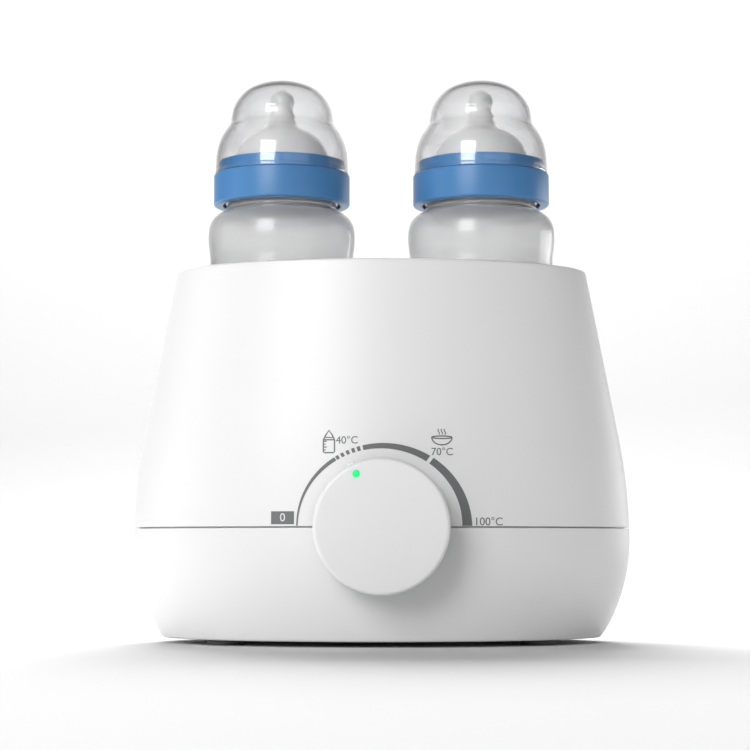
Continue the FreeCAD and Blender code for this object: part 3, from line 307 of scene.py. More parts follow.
def recalculated(thing):
    """Merge doubled points, drop flat faces and point every face outwards."""
    work = bmesh.new()
    work.from_mesh(thing.data)
    bmesh.ops.remove_doubles(work, verts=work.verts, dist=0.0005 * MM)
    bmesh.ops.dissolve_degenerate(work, edges=work.edges, dist=0.0002 * MM)
    bmesh.ops.recalc_face_normals(work, faces=work.faces)
    work.to_mesh(thing.data)
    work.free()
    return thing


def joined(name, *things):
    """Several meshes as one object, each keeping its material."""
    work, materials = bmesh.new(), []
    for thing in things:
        start = len(work.faces)
        work.from_mesh(thing.data)
        work.faces.ensure_lookup_table()
        own = list(thing.data.materials) or [None]
        for face in work.faces[start:]:
            material = own[min(face.material_index, len(own) - 1)]
            if material not in materials:
                materials.append(material)
            face.material_index = materials.index(material)
    mesh = bpy.data.meshes.new(name)
    work.to_mesh(mesh)
    work.free()
    for material in materials:
        mesh.materials.append(material)
    for thing in things:
        bpy.data.objects.remove(thing)
    return new_object(name, mesh)


def carved(thing, cutters, operation="DIFFERENCE"):
    """Cut or join with a boolean, then remove the cutters, which must not overlap each other."""
    cutter = joined("cutter", *cutters)
    modifier = thing.modifiers.new("carve", "BOOLEAN")
    modifier.operation = operation
    modifier.solver = "EXACT"
    modifier.object = cutter
    settle(thing)
    bpy.data.objects.remove(cutter)
    return smooth(recalculated(thing))


def bar(name, radius, length, segments=64):
    """A round bar along Z from the origin."""
    return turned(name, [(0, 0), (radius, 0), (radius, length), (0, length)], None, segments)


def brick(name, low, high, rounding=0.0):
    """A box between two corners, its edges rounded."""
    mesh = bpy.data.meshes.new(name)
    work = bmesh.new()
    size = Vector(high) - Vector(low)
    bmesh.ops.create_cube(work, size=1, matrix=Matrix.Translation((Vector(high) + Vector(low)) / 2)
                          @ Matrix.Diagonal((*size, 1)))
    if rounding:
        bmesh.ops.bevel(work, geom=work.edges[:], offset=rounding, segments=4, profile=0.5, affect="EDGES")
    work.to_mesh(mesh)
    work.free()
    return new_object(name, mesh)


def repeated(name, pattern, places, seed, material):
    """Copies of one piece at several places, each turned about Z by its own angle."""
    copies = grown(chain(name, places), REPEATING, Piece=pattern, Most_Turn=math.tau, Seed=seed,
                   Material=material)
    bpy.data.objects.remove(pattern)
    return smooth(copies)


def shown(thing, body, slot, *nodes):
    """Attach a finished piece to its body and hide the nodes that it stands for. The slot is not used."""
    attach(thing, body)
    if nodes:
        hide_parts(*nodes)


# ---------------------------------------------------------------- shared effects for materials
def effect_group(name, inputs):
    """An empty shader group that puts out a colour, a roughness and a height."""
    tree = bpy.data.node_groups.new(name, "ShaderNodeTree")
    for label, kind, value in inputs:
        tree.interface.new_socket(label, in_out="INPUT", socket_type=kind).default_value = value
    for label, kind in (("Colour", "NodeSocketColor"), ("Roughness", "NodeSocketFloat"),
                        ("Height", "NodeSocketFloat")):
        tree.interface.new_socket(label, in_out="OUTPUT", socket_type=kind)
    return tree, tree.nodes.new("NodeGroupInput"), tree.nodes.new("NodeGroupOutput")


def noise(tree, vector, scale, detail, **inputs):
    """A noise pattern; returns the socket of its value."""
    return add(tree, "ShaderNodeTexNoise", {"Vector": vector, "Scale": scale, "Detail": detail,
                                            **inputs}).outputs["Fac"]


def close_group(tree, output, colour, scale, roughness, height):
    """End an effect group: the colour scaled to its shade, the roughness and the height."""
    tint = add(tree, "ShaderNodeVectorMath", {0: colour, "Scale": scale}, operation="SCALE")
    for source, target in ((tint.outputs[0], "Colour"), (roughness, "Roughness"), (height, "Height")):
        tree.links.new(source, output.inputs[target])
    return tree


def moulded_group():
    """Moulded plastic: a fine spark-eroded grain, slow waviness, and a faint change of shade."""
    tree, given, output = effect_group(
        "moulded_surface",
        [("Colour", "NodeSocketColor", (1, 1, 1, 1)), ("Shade", "NodeSocketFloat", 0.03),
         ("Roughness", "NodeSocketFloat", 0.35), ("Roughness Spread", "NodeSocketFloat", 0.06),
         ("Grain Size", "NodeSocketFloat", 0.25)])
    place = add(tree, "ShaderNodeTexCoord").outputs["Object"]
    pitch = maths(tree, "DIVIDE", 1000, given.outputs["Grain Size"])
    grain = noise(tree, place, pitch, 2, Roughness=0.6)
    waves = noise(tree, place, 22, 2)
    cloud = noise(tree, place, 60, 4)
    slow = maths(tree, "MULTIPLY", waves, 0.4)
    height = maths(tree, "ADD", grain, slow)
    centred = maths(tree, "SUBTRACT", cloud, 0.5)
    spread = maths(tree, "MULTIPLY", centred, given.outputs["Roughness Spread"])
    rough = maths(tree, "ADD", given.outputs["Roughness"], spread, use_clamp=True)
    shade = maths(tree, "MULTIPLY", waves, given.outputs["Shade"])
    darker = maths(tree, "SUBTRACT", 1, shade)
    return close_group(tree, output, given.outputs["Colour"], darker, rough, height)


def metal_group():
    """Turned or brushed metal: fine rings about a vertical axis, and a change of shade."""
    tree, given, output = effect_group(
        "turned_metal",
        [("Colour", "NodeSocketColor", (1, 1, 1, 1)), ("Roughness", "NodeSocketFloat", 0.3),
         ("Line Density", "NodeSocketFloat", 900.0)])
    place = add(tree, "ShaderNodeTexCoord").outputs["Object"]
    stretch = add(tree, "ShaderNodeVectorMath", {0: place, 1: (0.04, 0.04, 1.0)}, operation="MULTIPLY")
    lines = noise(tree, stretch.outputs[0], given.outputs["Line Density"], 3)
    cloud = noise(tree, place, 90, 3)
    uneven = maths(tree, "MULTIPLY", lines, 0.22)
    rough = maths(tree, "ADD", given.outputs["Roughness"], uneven, use_clamp=True)
    shade = add(tree, "ShaderNodeMapRange", {"Value": cloud, "To Min": 0.86, "To Max": 1.06})
    return close_group(tree, output, given.outputs["Colour"], shade.outputs[0], rough, lines)


MOULDED, METAL = moulded_group(), metal_group()


def finish_of(name, group, colour, bump=0.1, depth=0.02 * MM, values=None, **sockets):
    """A material whose colour, roughness and relief come from a shared effect."""
    material = bpy.data.materials.new(name)
    material.use_nodes = True
    tree = material.node_tree
    shader = tree.nodes["Principled BSDF"]
    effect = add(tree, "ShaderNodeGroup", node_tree=group)
    effect.inputs["Colour"].default_value = (*colour, 1)
    for key, value in (values or {}).items():
        effect.inputs[key].default_value = value
    relief = add(tree, "ShaderNodeBump", {"Height": effect.outputs["Height"], "Strength": bump,
                                          "Distance": depth})
    tree.links.new(effect.outputs["Colour"], shader.inputs["Base Color"])
    tree.links.new(effect.outputs["Roughness"], shader.inputs["Roughness"])
    tree.links.new(relief.outputs[0], shader.inputs["Normal"])
    for key, value in sockets.items():
        shader.inputs[key.replace("_", " ")].default_value = value
    return material


def moulded(name, colour, roughness, grain=0.25, shade=0.03, spread=0.06, **rest):
    """A moulded plastic or rubber."""
    return finish_of(name, MOULDED, colour, values={"Shade": shade, "Roughness": roughness,
                                                    "Roughness Spread": spread, "Grain Size": grain}, **rest)


def metal(name, colour, roughness, density=900.0, **rest):
    """A turned, brushed or cast metal."""
    return finish_of(name, METAL, colour, values={"Roughness": roughness, "Line Density": density},
                     Metallic=1.0, **rest)


def lit_through(material, edge_colour):
    """Clear plastic with painted shade that darkens its colour where the surface turns edge-on to the view,
    and lets lamps shine through.
    """
    tree = material.node_tree
    shader = tree.nodes["Principled BSDF"]
    clear_colour = shader.inputs["Base Color"].links[0].from_socket
    # painted shade: the colour darkens towards the edge colour as the surface turns edge-on to the view
    edge = add(tree, "ShaderNodeLayerWeight", {"Blend": 0.35})
    depth = add(tree, "ShaderNodeMix", {0: edge.outputs["Facing"], 6: clear_colour, 7: (*edge_colour, 1)},
                data_type="RGBA")
    tree.links.new(depth.outputs[2], shader.inputs["Base Color"])
    path = add(tree, "ShaderNodeLightPath")
    clear = add(tree, "ShaderNodeBsdfTransparent", {"Color": (0.93, 0.93, 0.93, 1)})
    mixed = add(tree, "ShaderNodeMixShader", {0: path.outputs["Is Shadow Ray"],
                                              1: shader.outputs[0], 2: clear.outputs[0]})
    tree.links.new(mixed.outputs[0], tree.nodes["Material Output"].inputs["Surface"])
    return material


# ---------------------------------------------------------------- materials
HOUSING_WHITE = moulded("housing_white", (0.80, 0.80, 0.80), 0.38, bump=0.05, IOR=1.5, Coat_Weight=0.05,
                        Coat_Roughness=0.3)
KNOB_WHITE = moulded("knob_white", (0.81, 0.81, 0.81), 0.34, bump=0.05, IOR=1.5)
COLLAR_BLUE = moulded("collar_blue", (0.065, 0.21, 0.45), 0.36, bump=0.03, shade=0.05, IOR=1.46)
BOTTLE_CLEAR = moulded("bottle_clear", (0.97, 0.972, 0.975), 0.21, grain=0.35, shade=0.02, bump=0.05,
                       IOR=1.45, Transmission_Weight=0.80)
# clear cap plastic; the second colour is painted shade at the cap's edges
CAP_CLEAR = lit_through(moulded("cap_clear", (0.92, 0.92, 0.925), 0.10, grain=1.5, shade=0.01, spread=0.02,
                                bump=0.02, IOR=1.49, Specular_IOR_Level=0.35, Transmission_Weight=1.0),
                        (0.50, 0.50, 0.51))
TEAT_SILICONE = moulded("teat_silicone", (0.96, 0.96, 0.955), 0.12, grain=0.6, shade=0.02, bump=0.03,
                        IOR=1.41, Transmission_Weight=0.38)
WELL_ALUMINIUM = metal("well_aluminium", (0.80, 0.80, 0.81), 0.22, bump=0.08)
HEATER_ALUMINIUM = metal("heater_aluminium", (0.58, 0.58, 0.59), 0.42, density=400.0, bump=0.2)
HEATER_STEEL = metal("heater_steel", (0.42, 0.41, 0.40), 0.38, bump=0.1)
SCREW_STEEL = metal("screw_steel", (0.66, 0.66, 0.67), 0.24, bump=0.1)
SHAFT_BRASS = metal("shaft_brass", (0.72, 0.55, 0.27), 0.25, bump=0.1)
RUBBER_GREY = moulded("rubber_grey", (0.09, 0.09, 0.095), 0.62, grain=0.5, shade=0.2, bump=0.3)
GLAND_GREY = moulded("gland_grey", (0.42, 0.43, 0.44), 0.5, grain=0.4, shade=0.1, bump=0.15)
SEAL_SILICONE = moulded("seal_silicone", (0.62, 0.62, 0.61), 0.45, bump=0.1)
BOARD_GREEN = moulded("board_green", (0.02, 0.16, 0.07), 0.35, grain=0.8, shade=0.2, bump=0.1)
COMPONENT_BLACK = moulded("component_black", (0.02, 0.02, 0.022), 0.45, shade=0.2, bump=0.15)
COMPONENT_YELLOW = moulded("component_yellow", (0.62, 0.44, 0.06), 0.4, bump=0.1)
LEAD_RED = moulded("lead_red", (0.42, 0.04, 0.03), 0.4, bump=0.1)
PRINT_GREY = moulded("print_grey", (0.155, 0.16, 0.165), 0.5, grain=0.15, shade=0.12, bump=0.1)
PRINT_WHITE = moulded("print_white", (0.78, 0.785, 0.79), 0.5, grain=0.15, shade=0.05, bump=0.1)
LIGHT_GREEN = moulded("light_green", (0.01, 0.55, 0.17), 0.45, bump=0.02, IOR=1.49,
                      Emission_Color=(0.0, 0.8, 0.22, 1), Emission_Strength=0.6)
STAGE_WHITE = moulded("stage_white", (0.70, 0.70, 0.70), 0.7, grain=3.0, shade=0.01)


# ---------------------------------------------------------------- the housing's form
def half_width(height):
    """Half the housing's width at a height."""
    if height < BELLY_HEIGHT:
        return HALF_WIDTH - LOWER_BEND + math.sqrt(LOWER_BEND ** 2 - (BELLY_HEIGHT - height) ** 2)
    rise, turn = height - BELLY_HEIGHT, UPPER_BEND * math.sin(SIDE_DRAFT)
    if rise < turn:
        return HALF_WIDTH - UPPER_BEND + math.sqrt(UPPER_BEND ** 2 - rise ** 2)
    return HALF_WIDTH - UPPER_BEND * (1 - math.cos(SIDE_DRAFT)) - (rise - turn) * math.tan(SIDE_DRAFT)


def oval_reach(reach, height):
    """How far along Y a point goes that reaches this far across. The wall is as thick all round."""
    depth = min(max(half_width(min(max(height, BASE), RIM)) - reach, 0), WALL * 2)
    return reach * (HALF_DEPTH - depth) / (HALF_WIDTH - depth)


def front_surface(x, z, lift=0.0):
    """The point on the housing's front at x and z, lifted off it."""
    half = half_width(z)
    return Vector((x, -(HALF_DEPTH / HALF_WIDTH) * math.sqrt(half ** 2 - x ** 2) - lift, z))


def side_line(low, high, depth=0.0, steps=20):
    """The housing's side from one height to another, at a depth under the outer surface."""
    heights = [low + (high - low) * step / steps for step in range(steps + 1)]
    return [(half_width(height) - depth, height) for height in heights]


def knob_opening():
    """The cutter for the round opening behind the knob, which both shells share."""
    return moved(bar("knob_cutter", KNOB_OPENING, 30 * MM, 96), 0, -50 * MM, KNOB_HEIGHT, "front")


def vent(column, end):
    """The cutter for one slot of the floor vents."""
    across, along = column * VENT_PITCH, end * VENT_ALONG
    return brick("vent_cutter", (across - 1.3 * MM, along - 13 * MM, 0),
                 (across + 1.3 * MM, along + 13 * MM, 8 * MM))


def upper_shell():
    """Upper housing: wall, rounded rim, dished deck with its two openings, and the knob's opening."""
    rim_reach, edge_reach = half_width(RIM), half_width(UPPER_EDGE)
    deck_reach, deck_under = half_width(DECK) - WALL, DECK - DECK_THICKNESS
    outside = side_line(UPPER_EDGE + 3 * SHELL_EDGE, RIM - 3 * MM, steps=30)
    inside = side_line(deck_under - 4 * MM, UPPER_EDGE + SHELL_EDGE, WALL, steps=14)
    corners = ([(edge_reach - WALL, UPPER_EDGE), (edge_reach, UPPER_EDGE, SHELL_EDGE)] + outside
               + [(rim_reach, RIM, 1.2 * MM), (rim_reach - WALL, RIM, 0.9 * MM), (deck_reach, DECK, 1.6 * MM),
                  (0, DECK), (0, deck_under), (deck_reach, deck_under)] + inside)
    shell = turned("upper_shell", rounded(corners), HOUSING_WHITE, segments=224, oval=oval_reach)
    cutters = [moved(bar("deck_cutter", WELL_REACH - 1.1 * MM, 20 * MM, 96), side * WELL_ACROSS, 0,
                     DECK - 12 * MM) for _, side in SIDES] + [knob_opening()]
    shown(carved(shell, cutters), "housing", "housing_white", "upper_housing")


def lower_shell():
    """Lower housing: tub with its locating tongue, floor vents, screw wells and foot recesses."""
    top = UPPER_EDGE - PARTING_GAP
    tongue, reach = top + 3.3 * MM, half_width(top)
    tongue_outer, tongue_inner = reach - WALL - 0.2 * MM, reach - WALL - 1.4 * MM
    corners = ([(0, BASE), (half_width(BASE + 3 * MM) - 2.2 * MM, BASE, 2.4 * MM)]
               + side_line(BASE + 4 * MM, top - 1 * MM, steps=22)
               + [(reach, top, SHELL_EDGE), (tongue_outer, top), (tongue_outer, tongue, 0.3 * MM),
                  (tongue_inner, tongue, 0.3 * MM), (tongue_inner, top - 5 * MM)]
               + side_line(FLOOR + 2 * MM, top - 6 * MM, WALL, steps=12)[::-1]
               + [(half_width(FLOOR) - WALL, FLOOR, 1.5 * MM), (0, FLOOR)])
    shell = turned("lower_shell", rounded(corners), HOUSING_WHITE, segments=224, oval=oval_reach)
    gland_hole = turned("gland_cutter", [(0, 0), (6.1 * MM, 0), (6.1 * MM, 17 * MM), (8.1 * MM, 17 * MM),
                                         (8.1 * MM, 30 * MM), (0, 30 * MM)], None, 50)
    cutters = [knob_opening(), moved(gland_hole, 0, 44.6 * MM, GLAND_HEIGHT, "rear")]
    for side in (-1, 1):
        for end in (-1, 1):
            cutters.append(moved(bar("screw_cutter", 3.8 * MM, 20 * MM, 32),
                                 side * SCREW_REACH, end * SCREW_REACH))
            cutters.append(moved(bar("foot_cutter", 8.2 * MM, 4 * MM, 48),
                                 side * FOOT_ACROSS, end * FOOT_ALONG))
            if side > 0:
                cutters += [vent(column, end) for column in range(-2, 3)]
    shown(carved(shell, cutters), "housing", "housing_white", "lower_housing")


# ---------------------------------------------------------------- knob
def knob_body():
    """Hollow knob with a softly rounded face edge, a raised pointer and a hole for its light."""
    face, skirt, shaft_bore = KNOB_DEPTH - 2.5 * MM, 26.8 * MM, 3.05 * MM
    corners = [(shaft_bore, -1 * MM), (KNOB_HUB, -1 * MM, 0.3 * MM), (KNOB_HUB, face),
               (skirt, face, 1 * MM), (skirt, 0), (KNOB_RADIUS, 0, 0.5 * MM),
               (KNOB_RADIUS, KNOB_DEPTH, 1.8 * MM), (0, KNOB_DEPTH), (0, face), (shaft_bore, face)]
    body = turned("knob_body", rounded(corners, 8), KNOB_WHITE, segments=160)
    pointer = brick("pointer", (-1.7 * MM, KNOB_RADIUS - 1.5 * MM, 0),
                    (1.7 * MM, KNOB_RADIUS + 1.3 * MM, 11 * MM), 0.6 * MM)
    pointer.data.transform(Matrix.Rotation(POINTER_ANGLE, 4, "Z"))
    carved(body, [pointer], "UNION")
    hole = bar("dot_cutter", 1.65 * MM, 30 * MM, 32)
    hole.data.transform(Matrix.Translation((-DOT_REACH * math.sin(POINTER_ANGLE),
                                            DOT_REACH * math.cos(POINTER_ANGLE), 0)))
    carved(body, [hole])
    shown(moved(body, 0, KNOB_BACK, KNOB_HEIGHT, "front"), "knob", "knob_white", "knob")


def knob_light():
    """Light ring, arm and domed pin in one clear piece."""
    reach, under, over = 17 * MM, -1 * MM, 1.4 * MM
    ring = turned("knob_light", rounded([(KNOB_HUB, under), (reach, under, 0.3 * MM),
                                         (reach, over, 0.3 * MM), (KNOB_HUB, over)]), LIGHT_GREEN, 64)
    arm = brick("arm", (-2.3 * MM, 15 * MM, under), (2.3 * MM, 26 * MM, over), 0.4 * MM)
    pin = turned("pin", rounded([(0, 0), (1.6 * MM, 0), (1.6 * MM, KNOB_DEPTH + 0.25 * MM, 0.5 * MM),
                                 (0, KNOB_DEPTH + 0.35 * MM)]), LIGHT_GREEN, 32)
    moved(pin, 0, DOT_REACH)
    for piece in (arm, pin):
        piece.data.transform(Matrix.Rotation(POINTER_ANGLE, 4, "Z"))
        carved(ring, [piece], "UNION")
    shown(moved(ring, 0, KNOB_BACK, KNOB_HEIGHT, "front"), "knob", "indicator_green", "knob_light_pipe")


# ---------------------------------------------------------------- wells, feet and gland
def well(name, side):
    """Spun aluminium well with a rolled flange."""
    low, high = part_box(f"{name}_well")
    outside = WELL_REACH - 1.4 * MM
    inside, top, floor = outside - 1.2 * MM, high.z, WELL_FLOOR
    under, flange = floor - 1.5 * MM, top - 1.2 * MM
    corners = [(0, under), (outside, under, 5 * MM), (outside, flange, 0.4 * MM),
               (outside + 1.4 * MM, flange, 0.4 * MM), (outside + 1.4 * MM, top, 0.5 * MM),
               (inside, top, 0.5 * MM), (inside, floor, 4 * MM), (0, floor)]
    cup = turned(f"{name}_well_cup", rounded(corners), WELL_ALUMINIUM, segments=128)
    moved(cup, side * WELL_ACROSS)
    studs = [moved(bar("stud", 2 * MM, floor - 1 * MM - low.z, 24), side * WELL_ACROSS + end * 27 * MM,
                   0, low.z) for end in (-1, 1)]
    shown(joined(f"{name}_well_cup", cup, *studs), "housing", "well_aluminium", f"{name}_well")


def feet():
    """Four rubber feet, repeated from one."""
    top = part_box("rubber_feet")[1].z
    foot = turned("foot_pattern", rounded([(0, 0), (8 * MM, 0, 1 * MM), (8 * MM, top), (0, top)]),
                  RUBBER_GREY, 48)
    shown(repeated("rubber_foot_set", foot, four_places(FOOT_ACROSS, FOOT_ALONG), 3, RUBBER_GREY),
          "housing", "rubber_grey", "rubber_feet")


def screws():
    """Housing screws with cross recesses, repeated from one."""
    low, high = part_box("housing_screws")
    head, shank, crest = 2.4 * MM, 1.7 * MM, 0.45 * MM
    corners = [(0, 0), (3.5 * MM, 0, 1.1 * MM), (3.5 * MM, head, 0.2 * MM), (shank, head)]
    corners += [(shank - (crest if turn % 2 else 0), head + turn * 0.7 * MM) for turn in range(1, 21)]
    pattern = turned("screw_pattern", rounded(corners + [(0, high.z - low.z)]), SCREW_STEEL, 32)
    for across, along in ((2.2, 0.45), (0.45, 2.2)):
        carved(pattern, [brick("cross", (-across * MM, -along * MM, -1 * MM),
                               (across * MM, along * MM, 1.5 * MM), 0.1 * MM)])
    places = four_places(SCREW_REACH, SCREW_REACH, low.z)
    shown(repeated("housing_screw_set", pattern, places, 11, SCREW_STEEL), "housing", "screw_steel",
          "housing_screws")


def gland():
    """Tapered strain relief with flexing grooves."""
    low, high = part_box("cord_gland")
    length, tail = high.y - low.y, 6.9 * MM
    corners = [(3.3 * MM, 0), (8 * MM, 0, 0.3 * MM), (8 * MM, 2.2 * MM, 0.3 * MM), (6 * MM, 2.2 * MM),
               (6 * MM, 4.7 * MM), (8 * MM, 4.7 * MM, 0.3 * MM), (8 * MM, tail, 0.6 * MM)]
    grooves = 5
    pitch = (length - tail) / (grooves + 1)
    for groove in range(grooves):
        start = tail + pitch * (groove + 0.5)
        radius = 5.6 * MM - 1.3 * MM * (start - tail) / (length - tail)
        for height, depth in ((0, 0), (0.15 * pitch, 1.0 * MM), (0.45 * pitch, 1.0 * MM), (0.6 * pitch, 0)):
            corners.append((radius - depth, start + height, 0.2 * MM))
    corners = (corners[:7] + [(5.6 * MM, tail)] + corners[7:]
               + [(4.3 * MM, length, 0.4 * MM), (3.3 * MM, length, 0.3 * MM)])
    body = turned("cord_gland_tail", rounded(corners, 3), GLAND_GREY, 64)
    shown(moved(body, 0, low.y, GLAND_HEIGHT, "rear"), "housing", "rubber_grey", "cord_gland")


# ---------------------------------------------------------------- feeding bottles
def vessel(name, side):
    """Frosted bottle: rounded bottom, swollen shoulder, a bead under the collar and a threaded neck."""
    low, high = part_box(f"{name}_bottle_vessel")
    base, wall = low.z, 1.6 * MM
    shoulder = curve_through(above(base, (33.0, 97.0), (33.15, 101.0), (33.75, 105.5), (34.0, 110.0),
                                   (33.6, 114.6), (32.1, 118.2), (29.4, 120.6), (26.2, 121.5)), 5)
    inner = [Vector((point.x - wall, point.y - 0.25 * wall)) for point in reversed(shoulder)]
    neck = [(25.3 * MM, base + 121.6 * MM, 0.3 * MM), (25.3 * MM, base + 122.4 * MM, 0.2 * MM),
            (26.1 * MM, base + 122.7 * MM, 0.3 * MM), (26.1 * MM, base + 123.6 * MM, 0.3 * MM),
            (25.3 * MM, base + 123.9 * MM, 0.2 * MM), (25.3 * MM, base + 126 * MM),
            (26.0 * MM, base + 126 * MM), (26.0 * MM, high.z, 0.5 * MM), (23.5 * MM, high.z, 0.5 * MM),
            (23.5 * MM, base + 121 * MM, 1 * MM)]
    corners = ([(0, base + 0.6 * MM), (22 * MM, base + 0.6 * MM), (24 * MM, base, 0.8 * MM),
                (33.0 * MM, base, 5 * MM)] + shoulder + neck + inner
               + [(31.4 * MM, base + 2.2 * MM, 3.6 * MM), (0, base + 2.2 * MM)])
    body = moved(turned(f"{name}_bottle_body", rounded(corners), BOTTLE_CLEAR, 128), side * WELL_ACROSS)
    ridge = grown(chain(f"{name}_thread", [(0, 0, 0)]), COILING, Turns=1.6, Radius=26.1 * MM, Rise=8.5 * MM,
                  Thickness=0.75 * MM, Material=BOTTLE_CLEAR)
    moved(ridge, side * WELL_ACROSS, 0, base + 129 * MM)
    shown(joined(f"{name}_bottle_body", body, smooth(ridge)), f"{name}_bottle", "bottle_clear",
          f"{name}_bottle_vessel")


def teat(name, side):
    """Silicone teat: flange, broad dome, flared throat, and a round, pierced tip on a narrow neck."""
    low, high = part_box(f"{name}_bottle_teat")
    seat, tip, wall, hole, bulb = low.z, high.z, 1.4 * MM, 0.35 * MM, 5.7 * MM
    outer = (above(seat, (24.4, 2.4), (22.4, 4.4), (21.2, 8.4), (19.2, 12.8), (15.9, 16.4), (11.8, 18.9),
                   (8.5, 20.8), (6.4, 23.3)) + above(tip, (5.15, -11.3), (4.9, -9.2), (5.3, -7.2)))
    crown = [Vector((bulb * math.cos(a), tip - bulb + bulb * math.sin(a)))
             for a in (math.radians(step * 12 - 12) for step in range(8))]
    line = curve_through(outer + crown, 4)
    inner = [point for point in inset(line, wall) if hole < point.x and point.y < tip - wall]
    corners = ([(24.6 * MM, seat), (27.6 * MM, seat, 0.5 * MM), (27.6 * MM, seat + 2.2 * MM, 0.5 * MM)]
               + line + [(hole, tip - 0.05 * MM), (hole, tip - wall)] + inner[::-1])
    body = turned(f"{name}_teat_body", rounded(corners), TEAT_SILICONE, 96)
    shown(moved(body, side * WELL_ACROSS), f"{name}_teat", "teat_silicone", f"{name}_bottle_teat")


def collar(name, side):
    """Screw collar in two bands with soft edges."""
    low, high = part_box(f"{name}_bottle_collar")
    bottom, top, step = low.z, high.z, low.z + 14.6 * MM
    corners = [(27.3 * MM, bottom, 0.3 * MM), (31.6 * MM, bottom, 1.0 * MM), (31.6 * MM, step, 0.9 * MM),
               (29.1 * MM, step, 0.3 * MM), (29.1 * MM, top, 0.8 * MM), (26.8 * MM, top, 0.4 * MM),
               (26.8 * MM, top - 1.5 * MM), (27.9 * MM, top - 1.5 * MM), (27.9 * MM, top - 4.6 * MM),
               (27.3 * MM, top - 4.6 * MM)]
    body = turned(f"{name}_collar_body", rounded(corners), COLLAR_BLUE, 128)
    shown(moved(body, side * WELL_ACROSS), f"{name}_collar", "collar_blue", f"{name}_bottle_collar")


def cap(name, side):
    """Clear cap: a rim, a full bell that draws in to a soft waist, and a round dome."""
    low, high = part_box(f"{name}_bottle_cap")
    seat, top, wall = low.z, high.z, 1.3 * MM
    outer = (above(seat, (30.8, 1.6), (30.8, 4.5), (30.5, 9.3), (29.7, 13.6), (28.2, 17.7), (26.0, 21.4),
                   (24.2, 24.2))
             + above(top, (23.5, -16.2), (22.8, -12.9), (20.7, -8.8), (17.1, -4.9), (12.0, -2.1), (6.0, -0.5),
                     (0, 0)))
    line = curve_through(outer, 6)
    inner = [point for point in inset(line, wall) if point.x > 0.2 * MM] + [Vector((0, top - wall))]
    edge = seat + 0.05 * MM
    corners = ([(29.4 * MM, edge, 0.3 * MM), (31.0 * MM, edge, 0.4 * MM),
                (31.0 * MM, seat + 1.3 * MM, 0.5 * MM)]
               + line + inner[::-1])
    body = turned(f"{name}_cap_body", rounded(corners), CAP_CLEAR, 128)
    shown(moved(body, side * WELL_ACROSS), f"{name}_cap", "cap_clear", f"{name}_bottle_cap")


# ---------------------------------------------------------------- printed scale and marks
PRINT_LIFT = 0.03 * MM
PRINT_THICKNESS = 0.06 * MM
SCALE_FLATNESS = 0.94


def printed(name, outlines, material=PRINT_GREY):
    """Flat shapes given as faces of (x, z) points, wrapped onto the housing's front."""
    mesh = bpy.data.meshes.new(name)
    work = bmesh.new()
    for outline in outlines:
        verts = [work.verts.new(front_surface(x, z, PRINT_LIFT)) for x, z in outline]
        work.faces.new(verts)
    bmesh.ops.remove_doubles(work, verts=work.verts, dist=0.002 * MM)
    for face in work.faces:
        face.normal_update()
        if face.normal.y > 0:
            face.normal_flip()
    work.to_mesh(mesh)
    work.free()
    mesh.materials.append(material)
    thing = new_object(name, mesh)
    thickness = thing.modifiers.new("thickness", "SOLIDIFY")
    thickness.thickness = PRINT_THICKNESS
    thickness.offset = 1
    return settle(thing)


def arc_faces(start, end, inner, outer, centre, steps):
    """Faces of a flattened ring between two angles, in degrees; inner and outer give a radius by angle."""
    angles = [start + (end - start) * step / steps for step in range(steps + 1)]
    rows = [[(centre[0] + radius(angle) * math.cos(math.radians(angle)),
              centre[1] + SCALE_FLATNESS * radius(angle) * math.sin(math.radians(angle)))
             for radius in (inner, outer)] for angle in angles]
    return [[a[0], a[1], b[1], b[0]] for a, b in zip(rows, rows[1:])]


def scale_inner(angle):
    """The scale's inner radius at an angle in degrees."""
    return (34.8 + 1.3 * angle / 180) * MM


def scale_outer(angle):
    """The scale's outer radius at an angle in degrees."""
    return (39.1 - 2.4 * angle / 180) * MM


def dial_scale():
    """Grey crescent that grows thicker towards the hot end, with its gaps and five dashes."""
    centre = (0, KNOB_HEIGHT + 0.5 * MM)
    faces = []
    spans = [(180, 123.0, 24), (102.6, 56.8, 20), (54.2, 0.0, 24)]
    spans += [(angle + 1.1, angle - 1.1, 2) for angle in (121.2, 117.4, 113.4, 109.4, 105.6)]
    for start, end, steps in spans:
        faces += arc_faces(start, end, scale_inner, scale_outer, centre, steps)
    shown(printed("dial_scale", faces), "housing", "print_grey")


def stroke(points, width, closed=False):
    """Faces of a line of even width through (x, z) points."""
    points = [Vector(point) for point in points]
    count = len(points)
    sides = []
    for index, here in enumerate(points):
        before = points[index - 1] if closed or index else here
        after = points[(index + 1) % count] if closed or index < count - 1 else here
        along = (after - before).normalized()
        across = Vector((-along.y, along.x)) * width / 2
        sides.append((tuple(here + across), tuple(here - across)))
    ends = range(count if closed else count - 1)
    return [[sides[i][0], sides[i][1], sides[(i + 1) % count][1], sides[(i + 1) % count][0]] for i in ends]


